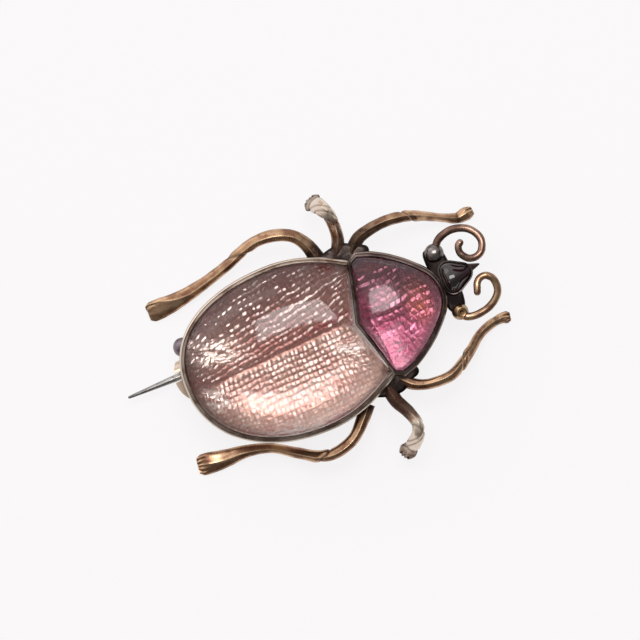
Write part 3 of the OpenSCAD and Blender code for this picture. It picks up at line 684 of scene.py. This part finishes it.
leftEye = np.array([body["noseX"] + 0.32, body["headLean"] + body["eyeOut"], body["solderTop"]])
rightEye = np.array([body["noseX"] + 0.53, body["headLean"] - body["eyeOut"], body["solderTop"]])
pebbles = {
    "leftEye": {"spot": leftEye, "radius": 1.08, "unevenness": 0.012, "collar": 0.05, "dirtBelow": 0.8},
    "rightEye": {"spot": rightEye, "radius": 0.92, "unevenness": 0.008, "collar": 0.06, "dirtBelow": 1.0,
                 "pit": (0.20, -0.22, 1, 0.40, 0.46)},
    "tailKnob": {"spot": (-0.89 * body["tailLength"], 0.51 * body["halfWidth"], 2.34), "radius": 1.09,
                 "unevenness": 0.03},
}
pebble("leftEye", eyeMetal, 41, **pebbles["leftEye"])
pebble("rightEye", goldEye, 42, **pebbles["rightEye"])

feelerSizes = {"wire": 0.88, "reach": 5.0, "steps": 6, "sides": 24}
# rows: place and lift from the middle of the eye, as shares of the reach
feelerRows = {
    "left": [[0.086, 0.11, 0], [0.178, 0.228, 0.02], [0.344, 0.31, 0.05], [0.52, 0.338, 0.09],
        [0.712, 0.308, 0.13], [0.89, 0.218, 0.17], [1.016, 0.07, 0.21], [1.064, -0.092, 0.25],
        [1.034, -0.246, 0.29], [0.946, -0.37, 0.33], [0.814, -0.418, 0.36], [0.67, -0.394, 0.39],
        [0.574, -0.304, 0.41], [0.524, -0.184, 0.42], [0.544, -0.058, 0.43], [0.61, 0, 0.43]],
    "right": [[0.034, -0.084, 0], [0.08, -0.146, 0.01], [0.216, -0.196, 0.03], [0.4, -0.2, 0.05],
        [0.62, -0.15, 0.07], [0.816, -0.04, 0.1], [0.934, 0.102, 0.13], [0.964, 0.28, 0.16],
        [0.926, 0.426, 0.19], [0.812, 0.524, 0.21], [0.68, 0.516, 0.23], [0.584, 0.436, 0.25],
        [0.53, 0.306, 0.26], [0.51, 0.254, 0.26]],
}


def feeler(name, rows, eye, material, seed):
    # A round wire along a spline, a little flat on top, rounded off at its end
    spots = eye + spline(rows, feelerSizes["steps"]) * feelerSizes["reach"]
    share = np.linspace(0, 1, len(spots))
    heading, sideways, up = along(spots)
    a = roundTurn(feelerSizes["sides"])
    r = feelerSizes["wire"] / 2 * (1 - 0.10 * share)
    flat = 1 - 0.06 * clamp(np.sin(a))**4
    rings = spots[:, None] + r[:, None, None] * (np.cos(a)[:, None] * sideways[:, None]
                                                 + (np.sin(a) * flat)[:, None] * up[:, None])
    rings += (rings - spots[:, None]) * (wobble(rings, 1.5, seed) * 0.05)[..., None]
    ends = [spots[-1] + (rings[-1] - spots[-1]) * np.cos(t) + heading[-1] * r[-1] * np.sin(t)
            for t in (0.5, 1.0, 1.35)]
    rings = np.concatenate([rings, ends])
    # A painted highlight along the top of the wire and painted shade down its sides and underside
    worn = 0.7 * bell((a - np.pi / 2) / 0.5) * clamp(0.6 + 0.7 * wobble(rings, 1.2, seed + 3))
    dirt = 0.85 * (1 - clamp(np.sin(a) * 1.5)) * np.ones((len(rings), 1))
    run = np.linspace(0, 6.5, len(rings))[:, None]
    skin(name, rings, material, wear=worn, dirt=dirt, run=run + seed, round=1.5 * np.cos(a))


feeler("leftFeeler", feelerRows["left"], leftEye, copper, 51)
feeler("rightFeeler", feelerRows["right"], rightEye, bronze, 52)

beak = {"length": 1.2, "base": 0.49, "tip": 0.075, "z": 4.26}
t = np.array([-0.25, 0, 0.03, 0.2, 0.4, 0.6, 0.8, 0.93, 0.98, 1.0])[:, None]
a = roundTurn(32)
r = np.interp(t, [-0.25, 0, 0.03, 0.9, 1.0], [0.35, beak["base"], beak["base"], beak["tip"] * 1.6, 0.02])
beakX = headMiddle[0] + body["headRadius"] + beak["length"] * t + 0 * a
skin("beak", np.stack([beakX, headMiddle[1] + 0.2 + r * np.cos(a), beak["z"] + r * 0.85 * np.sin(a)], -1),
     darkSolder, wear=0.3, dirt=0.3)
pebble("tailKnob", knobMetal, 43, **pebbles["tailKnob"])
print("head and knob")


# Stones and foils

abdomenMiddle = np.array([-0.05 * body["tailLength"], 0.0])
thoraxMiddle = np.array([body["cornerX"] + 0.3 * body["thoraxLength"], 0.0])


def softened(outline, amount):
    # An outline whose waves of number k fade by exp(-(k amount)^2), so that its corners round off
    waves = np.fft.rfft(outline, axis=0)
    waves *= bell(np.arange(len(waves)) * amount)[:, None]
    return np.fft.irfft(waves, len(outline), axis=0)


def fullRound(away):
    # How far out each point of an outline with a V lies on the way to the oval that it was cut from
    half = away[:, 1].max()
    nose = away[0, 0] / np.sqrt(1 - (away[0, 1] / half)**2)
    return np.where(away[:, 0] > 0, np.minimum(1, 1.012 * np.hypot(away[:, 0] / nose, away[:, 1] / half)), 1)


# top is the girdle's; peak is how far the dome's top lies from the middle; cut widens the bevel along the V
stones = {
    "abdomen": {"top": 5.6, "rise": 3.4, "oval": (14.0, 10.9), "peak": (0, 0), "bevel": 0.225,
                "bevelRise": 0.256, "power": 5.0, "cut": 0.55},
    "thorax": {"top": 5.5, "rise": 2.0, "oval": (8.0, 8.3), "peak": (-2.5, -0.4), "bevel": 0.5,
               "bevelRise": 0.4, "power": 2.0, "soft": 0.12},
    "head": {"top": 5.1, "rise": 1.0, "oval": (2.24, 2.24), "peak": (-0.6, -0.3), "bevel": 0.135,
             "bevelRise": 0.08, "power": 2.6, "soft": 0.5},
}


def stone(name, outline, middle, material, slot, stands, top, rise, oval, peak, bevel, bevelRise, power,
          cut=0, soft=0, narrower=1, lower=0):
    # Girdle, bevel, then an oval hill: the root of one less two squares, let down to the bevel by a power of
    # the share of the way out to the full round; along a V the bevel widens by up to cut to a steep slope.
    # The rings draw in to the peak and lose the outline's corners on the way, if soft
    bevel, bevelRise, peak = bevel * narrower, bevelRise - lower, middle + peak
    away = outline - middle
    far = np.linalg.norm(away, axis=1, keepdims=True)
    way = fullRound(away) if cut else np.ones(len(outline))
    inner = outline - (bevel + cut * (1 - way**power))[:, None] * away / far
    share = np.r_[1, 0.99, 0.975, np.linspace(0.955, 0.03, 52)]
    centre = middle + (1 - share)[:, None, None] * (peak - middle)
    flat = np.array([centre[k] + s * (softened(inner, soft * (1 - s)) - middle) for k, s in enumerate(share)])
    hill = np.sqrt(clamp(1 - (((flat - centre) / oval)**2).sum(-1)))
    z = top + bevelRise + (rise - bevelRise) * (1 - (share[:, None] * way)**power) * hill
    dome = np.concatenate([flat, z[..., None]], 2)
    sole = [lift(middle + away * s, body["stoneZ"]) for s in (0.5, 0.985)]
    girdle = [lift(outline, body["stoneZ"] + 0.08), lift(outline, top - 0.02)]
    slope = [lift(outline + (inner - outline) * s, top + (z[0] - top) * (1 - (1 - s)**1.5))
             for s in (0.04, 0.2, 0.4, 0.6, 0.8, 0.95)]
    rings = np.concatenate([sole, girdle, slope, dome])
    skin(name, rings, material, slot, stands, sharp=32)


abdomenSeat = movedIn(abdomenOutline(notchShift), body["wall"] + body["seatGap"])
thoraxSeat = movedIn(thoraxOutline(notchShift), body["wall"] + body["seatGap"])
headSeat = movedIn(headEdge, body["headWall"] + body["seatGap"])
nose = clamp((thoraxSeat[:, 0] - body["cornerX"]) / body["thoraxLength"])**6
stone("abdomenDome", abdomenSeat, abdomenMiddle, paleStone, "pale_stone", "abdomen_stone",
      **stones["abdomen"])
stone("thoraxDome", thoraxSeat, thoraxMiddle, pinkStone, "pink_stone", "thorax_stone", **stones["thorax"],
      narrower=(1 - 0.8 * thoraxV) * (1 - 0.7 * nose), lower=0.35 * thoraxV)
stone("headDome", headSeat, headMiddle, darkStone, "dark_stone", "head_stone", **stones["head"])


def levelCuts(outline, count):
    # Level cuts through an outline: the y of each, and the x at which it enters and leaves
    first, last = np.argmax(outline[:, 1]), np.argmin(outline[:, 1])
    turned = np.roll(outline, -first, 0)
    split = (last - first) % len(outline)
    behind, ahead = turned[:split + 1], np.vstack([turned[split:], turned[:1]])
    y = np.linspace(outline[last, 1] + 0.03, outline[first, 1] - 0.03, count)
    return y, np.interp(y, behind[::-1, 1], behind[::-1, 0]), np.interp(y, ahead[:, 1], ahead[:, 0])


def borderGap(x, y, outline, middle):
    # How far inside the outline each place is, along the ray from the middle
    angle = np.arctan2(outline[:, 1] - middle[1], outline[:, 0] - middle[0])
    order = np.argsort(angle)
    reach = np.linalg.norm(outline - middle, axis=1)[order]
    here = np.interp(np.arctan2(y - middle[1], x - middle[0]), angle[order], reach, period=2 * np.pi)
    return here - np.hypot(x - middle[0], y - middle[1])


foilBase, foilRoom = 0.045, 0.105      # thickness under the relief, and the room for it under the stone


def foilSheet(name, outline, relief, material, slot, stands, across, down):
    # Level rows of points over the outline, raised by a relief, on a flat underside
    y, enters, leaves = levelCuts(outline, down)
    x = enters[:, None] + (leaves - enters)[:, None] * np.linspace(0, 1, across)
    y = np.broadcast_to(y[:, None], x.shape)
    height, marks = relief(x, y)
    top = np.stack([x, y, body["foilZ"] + foilBase + np.clip(height, 0, foilRoom)], -1)
    under = top[:, [-1, 0]]
    under[..., 2] = body["foilZ"]
    marks = {key: np.hstack([clamp(value), np.zeros((down, 2))]) for key, value in marks.items()}
    skin(name, np.concatenate([top, under], 1), material, slot, stands, sharp=180, **marks)


def level(x, y):
    return np.stack([x, y, 0 * x], -1)


def framed(x, y, fromX, fromY, degrees):
    # How far each place lies ahead and aside in a frame that is moved and turned
    turn = np.radians(degrees)
    x, y = x - fromX, y - fromY
    return x * np.cos(turn) + y * np.sin(turn), y * np.cos(turn) - x * np.sin(turn)


def spot(x, y, row):
    # A soft oval patch: x, y, half length, half width and turn in degrees
    ahead, aside = framed(x, y, row[0], row[1], row[4])
    return np.exp(-(ahead / row[2])**2 - (aside / row[3])**2)


def patchwork(x, y, rows):
    return sum(spot(x, y, row) for row in rows)


def cells(x, y, style, tall, rowsToo, seed, longer=0.0):
    # Rows of small raised cells turned by an angle. A cell is one less the fourth power of a along its row,
    # times a steep side, a flat top and a facet down to the next row across it; rowsToo brings in the grooves
    # between rows. It leans a little its own way, by chance numbers made from its column and row; a patch for
    # a painted highlight lies on it, longer in places and skewed. The rows bend and are shifted along one
    # another by chance
    ahead, aside = framed(x, y, 0, 0, style["turn"])
    sway = style["sway"] * (wobble(level(x, y), 4.0, seed + 20) + 0.5 * wobble(level(x, y), 1.4, seed + 21))
    v = aside / style["pitch"][1] + 0.7 * sway
    row = np.floor(v)
    shift = style["shift"] * np.modf(np.abs(np.sin(row * 39.425 + seed) * 2745.3))[0]
    u = ahead / style["pitch"][0] + sway + shift
    column = np.floor(u)
    a, b = 2 * (u - column) - 1, 2 * (v - row) - 1
    chance = [np.modf(np.abs(np.sin(column * 12.9898 + row * 78.233 + seed + 37.719 * k) * 4375.85))[0]
              for k in range(4)]
    pillow = (1 - a**4) * (1 - rowsToo * (1 - fade(b, -1, -0.75) * fade(b, 1, 0.2)))
    lean = style["lean"] * ((chance[0] - 0.5) * a + (chance[1] - 0.5) * b)
    wide, high = np.multiply.outer(style["patch"], 0.55 + 0.7 * chance[3])
    off = b - style["aside"]
    patch = (fade(wide * (0.3 + 0.7 * rowsToo) + longer - np.abs(a - style["skew"] * off), 0, 0.25)
             * fade(high + 1 - rowsToo - np.abs(off), 0, 0.25))
    return tall * pillow * (0.75 + 0.5 * chance[3] + lean), pillow, patch, chance[2]


def folds(x, y, lines):
    # Long soft ridges, each a row of x, y, angle, half length, half width and height
    height = 0
    for fromX, fromY, angle, length, width, tall in lines:
        ahead, aside = framed(x, y, fromX, fromY, angle)
        height = height + tall * bell(aside / width) * clamp(2 - 2 * np.abs(ahead / length))
    return height


def wrinkles(spots, size, seed):
    # Crests where a mild unevenness passes nought: the square of one less its size over 0.3, or 0 farther off
    return clamp(1 - np.abs(wobble(spots, size, seed)) / 0.3)**2


def teeth(spots, way, pitch, seed):
    # Uneven saw teeth that slope down along a way: one less the fraction of the distance over a pitch, pushed
    # about by a mild unevenness
    phase = spots[..., :2] @ np.array(way) / pitch + 1.5 * wobble(spots, 2.2, seed)
    return 1 - (phase - np.floor(phase))


# pitch in mm along and across, turn in degrees; spots are rows of x, y, half length, half width and turn
abdomenFoil = {
    "left": {"pitch": (0.60, 0.56), "turn": 8.0, "lean": 0.8, "patch": (0.80, 0.42), "aside": 0.5,
             "skew": 0.8, "sway": 0.45, "shift": 1.0},
    "right": {"pitch": (0.52, 0.57), "turn": 1.5, "lean": 0.9, "patch": (0.66, 0.56), "aside": 0.1,
              "skew": 0.2, "sway": 0.3, "shift": 0.2},
    "folds": [(3.2, 4.3, 9, 4.2, 0.26, 0.03), (-1.6, 7.0, 9, 2.6, 0.25, 0.03)],
    "streaks": [(3.0, 4.2, 3.4, 0.50, 12), (1.6, 5.2, 2.0, 0.3, 12), (-1.6, 7.0, 2.2, 0.30, 9)],
    "crumples": [(-8.3, 2.8, 2.5, 1.3, -18), (4.9, -1.9, 1.5, 0.9, -20), (-9.6, -1.6, 1.6, 1.0, -40),
                 (-3.5, -7.6, 4.0, 1.0, -12), (-10.3, 5.0, 1.0, 0.7, 60)],
    "red": [(6.1, 6.5, 1.2, 0.8, 0), (-5.8, -7.1, 3.2, 0.8, -20), (1.0, -8.0, 2.5, 0.5, 5),
            (-8.0, 6.0, 2.0, 0.8, 45), (4.0, 1.25, 3.5, 0.35, 3)],
    # The light, dark, dull and end spots change how much light and shade are painted on the foil; smooth
    # takes away cells
    "light": (-6.5, 4.0, 3.4, 2.4, 25), "dark": (0.2, 6.8, 2.6, 1.3, 8), "dull": (2.4, -2.5, 1.8, 0.8, 8),
    "brown": (-9.6, -1.4, 1.8, 1.4, 0), "smooth": (-6.2, -2.6, 2.6, 1.6, -10),
}


def abdomenRelief(x, y):
    # Two halves of embossed cells that meet in a fold along the body: the left one painted dark with painted
    # bright highlights, the right one painted lit, in thin bars beside the fold and in squares farther out;
    # crumpled in places
    style = abdomenFoil
    fold = y - 0.27 - 0.0475 * x
    left = fold > 0
    tall = np.where(left, 0.033 + 0.0058 * fold, np.clip(0.032 + 0.003 * fold, 0.020, 0.032))
    rowsToo = fade(-fold, 0.2, 1.2) * 0.7 + 0.3
    streak = patchwork(x, y, style["streaks"])
    high, pillow, patch, chance = [np.where(left, one, other) for one, other in zip(
        cells(x, y, style["left"], tall, 1.0, 3, 0.5 * streak),
        cells(x, y, style["right"], tall, rowsToo, 11))]
    gap = borderGap(x, y, abdomenSeat, abdomenMiddle)
    spots = level(x, y)
    cluster, lines = wobble(spots, 3.4, 66), wrinkles(spots, 2.2, 67)
    broad, crests = wobble(spots, 5.0, 61), wobble(spots, 1.3, 63)
    tooth = teeth(spots, (-0.3, 0.95), 0.45, 64)
    crumple = clamp(patchwork(x, y, style["crumples"]))
    clear = fade(np.abs(fold), 0.12, 0.4) * fade(gap, 0.7, 1.7) * (1 - 0.6 * spot(x, y, style["smooth"]))
    clear = clear * (1 - 0.8 * crumple)
    height = (0.015 + high * clear + 0.010 * broad + np.where(left, 0, 0.012) * crests
              + 0.08 * crumple * tooth - 0.015 * bell(fold / 0.10)
              + folds(x, y, style["folds"]) * fade(gap, 0, 1.5))
    # lit paints light and shade: dark on the left, lit on the right, lighter in spots, streaks and crumples,
    # darker in spots and in the grooves between cells
    dark = (0.14 + 0.10 * broad + 0.22 * spot(x, y, style["light"]) - 0.14 * spot(x, y, style["dark"])
            + 0.2 * streak)
    bright = (0.74 + 0.12 * broad - 0.35 * spot(x, y, style["dull"]) - 0.35 * spot(x, y, style["brown"])
              - 0.45 * (1 - pillow) * clear + 0.25 * fade(-fold, 4.5, 7.0)) * fade(-fold, -0.1, 0.4)
    lit = np.where(left, dark + 0.5 * crumple - 0.12 * (1 - pillow) * clear, bright)
    fleck = np.where(left, fade(chance + 0.45 * cluster, 0.45, 0.65), 0.15 + 0.8 * chance + 0.25 * cluster)
    # Painted highlights: flecks on the cells, the crests of the crumples and wrinkle lines
    bare = clear * patch * clamp(fleck + streak)
    bare = bare + crumple * fade(crests, -0.45, 0) * fade(tooth, 0, 0.25)
    bare = bare + 0.35 * lines * fade(cluster + np.where(left, -0.3, 0.4), 0, 0.5) * fade(gap, 0.5, 1.5)
    border = np.where(left, 0.85, 0.5) * (1 - fade(gap, 0.2, 1.2))
    return height, {"lit": lit, "bare": bare, "stain": patchwork(x, y, style["red"]) * 0.8, "border": border}


thoraxFoil = {
    "cells": {"pitch": (0.66, 0.74), "turn": 7.0, "lean": 1.1, "patch": (0.70, 0.40), "aside": 0.5,
              "skew": 0.5, "sway": 0.45, "shift": 0.6},
    "folds": [(11.2, 0.6, 4, 3.0, 0.5, 0.03), (11.0, -3.0, -10, 2.6, 0.6, 0.03)],
    "pale": (10.3, 1.8, 1.5, 1.1, 20), "orange": (14.0, -0.6, 1.2, 1.7, 20),
}


def thoraxRelief(x, y):
    # The same cells, larger, pale and plain in one place, with an orange blush near the head
    style = thoraxFoil
    tall = np.clip(0.045 + 0.009 * y, 0.015, 0.085)
    high, pillow, patch, chance = cells(x, y, style["cells"], tall, 1.0, 8)
    gap = borderGap(x, y, thoraxSeat, thoraxMiddle)
    pale = spot(x, y, style["pale"])
    clear = fade(gap, 0.9, 1.7) * (1 - 0.8 * pale) * fade(x, 8.4, 9.8) * (1 - fade(y, 3.4, 5.0))
    spots = level(x, y)
    broad, crests, lines = wobble(spots, 3.5, 62), wobble(spots, 1.3, 64), wrinkles(spots, 2.4, 65)
    height = (0.015 + high * clear + 0.010 * broad + 0.012 * crests
              + folds(x, y, style["folds"]) * fade(gap, 0, 1.5))
    orange = spot(x, y, style["orange"])
    # lit paints light towards the lower side, on the pale spot and the blush, and shade in the grooves
    # between cells
    lit = (fade(-y - 0.35 * (x - 11.5) + 0.4 * broad, -2.4, 2.2) * 0.85 + 0.4 * pale + 0.4 * orange
           - 0.35 * (1 - pillow) * clear)
    # Painted highlights on the cells, on the pale spot's crests and along wrinkle lines
    bare = (clear * patch * fade(chance + 0.3 * broad, 0.25, 0.6) * (0.5 + 0.5 * chance)
            + 0.3 * pale * fade(crests, -0.2, 0.2) + 0.35 * lines * fade(broad, -0.3, 0.3) * clear)
    border = 0.9 * (1 - fade(gap, 0.4, 1.4))
    return height, {"lit": lit, "bare": bare, "stain": 0.8 * orange, "border": border}


foilSheet("abdomenFoil", abdomenSeat, abdomenRelief, paleFoil, "pale_foil", "abdomen_foil", across=340,
          down=270)
foilSheet("thoraxFoil", thoraxSeat, thoraxRelief, pinkFoil, "pink_foil", "thorax_foil", across=180, down=240)
print("stones and foils")


# Catch

catch = {"diameter": 2.4, "sheet": 0.35, "length": 3.2, "out": 0.78, "width": 4.6, "right": 0.83, "bow": 3.1,
         "curlEnd": -1.32, "slack": 0.05}
pinRadius = 0.42
curlRadius = catch["diameter"] / 2 - catch["sheet"] / 2
curlMiddle = np.array([catch["width"] - catch["right"], body["backZ"]]) - catch["diameter"] / 2

# The sheet's middle line from right to left under the back, then round the curl to the pin's way out
curl = curlMiddle + curlRadius * circle(np.linspace(np.pi / 2, catch["curlEnd"], 40))
flatPart = np.stack([np.linspace(-catch["right"], curlMiddle[0], 46)[:-1],
                     np.full(45, body["backZ"] - catch["sheet"] / 2)], 1)
line = np.vstack([flatPart, curl])
normal = leftOf(np.gradient(line, axis=0))
catchMiddle = catch["width"] / 2 - catch["right"]
tail = -body["tailLength"] - catch["out"]
start = tail + catch["bow"] - np.sqrt(np.maximum(catch["bow"]**2 - (line[:, 0] - catchMiddle)**2, 0))
notched = np.abs(line[:, 0] - hingeSpot[1]) < pinRadius + catch["slack"]
notched &= line[:, 1] > body["backZ"] - 0.4
start = np.where(notched, tail + catch["out"], start)
finish = tail + catch["length"]
q = np.array([[0, -1], [0.02, -1], [0.98, -1], [1, -1], [1, -0.5], [1, 0.5], [1, 1], [0.98, 1], [0.02, 1],
              [0, 1], [0, 0.5], [0, -0.5]])
x = start[:, None] + (finish - start)[:, None] * q[:, 0]
flatwise = line[:, None] + normal[:, None] * (q[:, 1] * catch["sheet"] / 2)[None, :, None]
catchRings = np.concatenate([x[..., None], flatwise], 2)
skin("catchSheet", catchRings, creamBronze, sharp=40, wear=0.55, dirt=0.12)


# Hinge, slanted about the pin's stem

slant = np.radians(30)
hingeUp = np.array([0, np.sin(slant), np.cos(slant)])
hingeAcross = np.array([0, np.cos(slant), -np.sin(slant)])


def hingeSpots(x, across, up):
    # Places in the slanted frame of the hinge
    x, across, up = (one[..., None] for one in np.broadcast_arrays(x, across, up))
    return hingeSpot + x * np.array([1, 0, 0]) + across * hingeAcross + up * hingeUp


ears = {"radius": 0.8, "thick": 0.45, "middle": 0.835, "neck": 0.5}


def ear(name, side):
    # A tab with a round end below and a straight neck up to the back, its rims taken off
    wide, neck = ears["radius"], ears["neck"]
    top = (body["backZ"] + 0.04 - hingeSpot[2]) / np.cos(slant) + 0.12
    shape = np.vstack([wide * circle(np.linspace(-np.pi, 0, 28)),
                       [[wide, neck], [wide, top], [0, top], [-wide, top], [-wide, neck]]])
    rings = []
    for shrink, place in ((0.90, -0.5), (0.97, -0.46), (1, -0.38), (1, 0.38), (0.97, 0.46), (0.90, 0.5)):
        rings.append(hingeSpots(shape[:, 0] * shrink, side * ears["middle"] + place * ears["thick"],
                                np.where(shape[:, 1] > 0.4, shape[:, 1], shape[:, 1] * shrink)))
    rings = np.array(rings)
    rings[..., 2] = np.minimum(rings[..., 2], body["backZ"] + 0.05)
    skin(name, rings, darkSolder, sharp=40, wear=0.3, dirt=0.3)


ear("hingeEarLeft", 1)
ear("hingeEarRight", -1)


# Pin: rows of tip are the distance from the point and the radius there

pin = {"straight": 22.995, "length": 32.1,
       "tip": [(5.6, 0.399), (4, 0.335), (2.5, 0.27), (1.2, 0.205), (0.3, 0.16), (0.08, 0.13), (0, 0.06)]}
rows = spline([(0.3, 0.36), (0.45, 0.41), *((far, pinRadius) for far in (0.6, 8, 16, pin["straight"])),
               *((pin["length"] - back, radius) for back, radius in pin["tip"])], 8)
a = roundTurn(40)
reach, r = rows[:, 0, None], rows[:, 1, None] + 0 * a
pinRings = hingeSpot + np.stack([-reach + 0 * a, r * np.cos(a), r * np.sin(a)], -1)
filed = 0.012 * wobble(pinRings, 2.0, 71) * clamp((reach - 22) / 6)
pinRings[..., 1:] += (pinRings[..., 1:] - hingeSpot[1:]) * (filed / 0.3)[..., None]
skin("pinStem", pinRings, steel, "pin_steel", "pin_stem", "pin",
     wear=clamp(0.5 + 0.5 * wobble(pinRings, 1.5, 72)),
     dirt=clamp(0.15 + 0.5 * clamp((reach - 26) / 6) + 0 * a))

eye = {"outer": 0.85, "inner": 0.40, "half": 0.55, "outerEdge": 0.08, "innerEdge": 0.04}
outer, inner, half, outerEdge, innerEdge = (
    eye[size] for size in ("outer", "inner", "half", "outerEdge", "innerEdge"))
section = np.array([[inner + innerEdge, -half], [outer - outerEdge, -half], [outer, -half + outerEdge],
                    [outer, half - outerEdge], [outer - outerEdge, half], [inner + innerEdge, half],
                    [inner, half - innerEdge], [inner, -half + innerEdge]])
a = roundTurn(64)[:, None]
eyeRings = hingeSpots(section[:, 0] * np.cos(a), section[:, 1] + 0 * a, section[:, 0] * np.sin(a))
skin("pinEye", eyeRings, steel, "pin_steel", "pin_stem", "pin", sharp=40, ring=True, wear=0.4, dirt=0.3)

nodes["hinge_rivet"].data.materials.clear()
nodes["hinge_rivet"].data.materials.append(steel)
print("catch, hinge and pin")


# Floor, camera and lights

floorMaterial, floorTree, floorShader = newMaterial("paleFloor")
feed(floorTree, floorShader, {"Base Color": (0.14, 0.138, 0.14, 1), "Roughness": 0.9,
                              "Specular IOR Level": 0.1, "Emission Color": (1.0, 0.985, 0.99, 1),
                              "Emission Strength": 0.845})
floorMesh = bpy.data.meshes.new("floor")
floorMesh.from_pydata([(-1.5, -1.5, 0), (1.5, -1.5, 0), (1.5, 1.5, 0), (-1.5, 1.5, 0)], [], [(0, 1, 2, 3)])
floorMesh.materials.append(floorMaterial)
newObject("floor", floorMesh)

camera = {"middle": (1.36, 2.49), "field": 70.4, "away": 900.0, "turn": -22.5, "height": 4.0}
turned = np.radians(camera["turn"])
imageRight = Vector((np.cos(turned), np.sin(turned), 0))
imageUp = Vector((-np.sin(turned), np.cos(turned), 0))
cameraData = bpy.data.cameras.new("camera")
cameraData.sensor_width = 36
cameraData.lens = 36 * camera["away"] / camera["field"]
cameraData.clip_start, cameraData.clip_end = 0.01, 10
cameraObject = newObject("camera", cameraData)
cameraObject.location = Vector((*camera["middle"], camera["height"] + camera["away"])) * mm
cameraObject.rotation_euler = (0, 0, turned)
bpy.context.scene.camera = cameraObject


# places and sizes in metres
lights = {
    "keyBox": {"right": -0.005, "up": 0.214, "high": 0.555, "width": 0.34, "height": 0.23, "radiance": 4.9,
               "long": Vector((1, 0, 0))},
    "lowBox": {"right": -0.62, "up": 0.62, "high": 0.30, "width": 0.9, "height": 0.30, "radiance": 0.8,
               "long": imageRight},
}


def softbox(name, right, up, high, width, height, radiance, long):
    # An area light placed by the picture's own right and up and turned to the brooch, its long side along
    # long; its radiance is its power over pi and its area
    data = bpy.data.lights.new(name, "AREA")
    data.shape, data.size, data.size_y = "RECTANGLE", width, height
    data.energy = radiance * np.pi * width * height
    light = newObject(name, data)
    light.location = imageRight * right + imageUp * up + Vector((0, 0, high))
    back = light.location.normalized()
    sideways = (long - back * long.dot(back)).normalized()
    light.rotation_euler = Matrix((sideways, back.cross(sideways), back)).transposed().to_euler()


for lightName, values in lights.items():
    softbox(lightName, **values)

# The room: brighter up and left of the picture, darker down and right
world = bpy.data.worlds.new("studio")
world.use_nodes = True
room = world.node_tree
toward = put(room, "ShaderNodeVectorMath", {0: put(room, "ShaderNodeTexCoord").outputs["Generated"]},
             operation="DOT_PRODUCT")
toward.inputs[1].default_value = imageUp * 0.8 - imageRight * 0.6
background = room.nodes["Background"]
background.inputs["Color"].default_value = (1.0, 0.985, 0.97, 1)
room.links.new(ramp(room, toward.outputs["Value"], -0.5, 0.95, 0.16, 1.0), background.inputs["Strength"])
bpy.context.scene.world = world
bpy.context.scene.view_settings.view_transform = "Standard"
print("floor, light and camera")
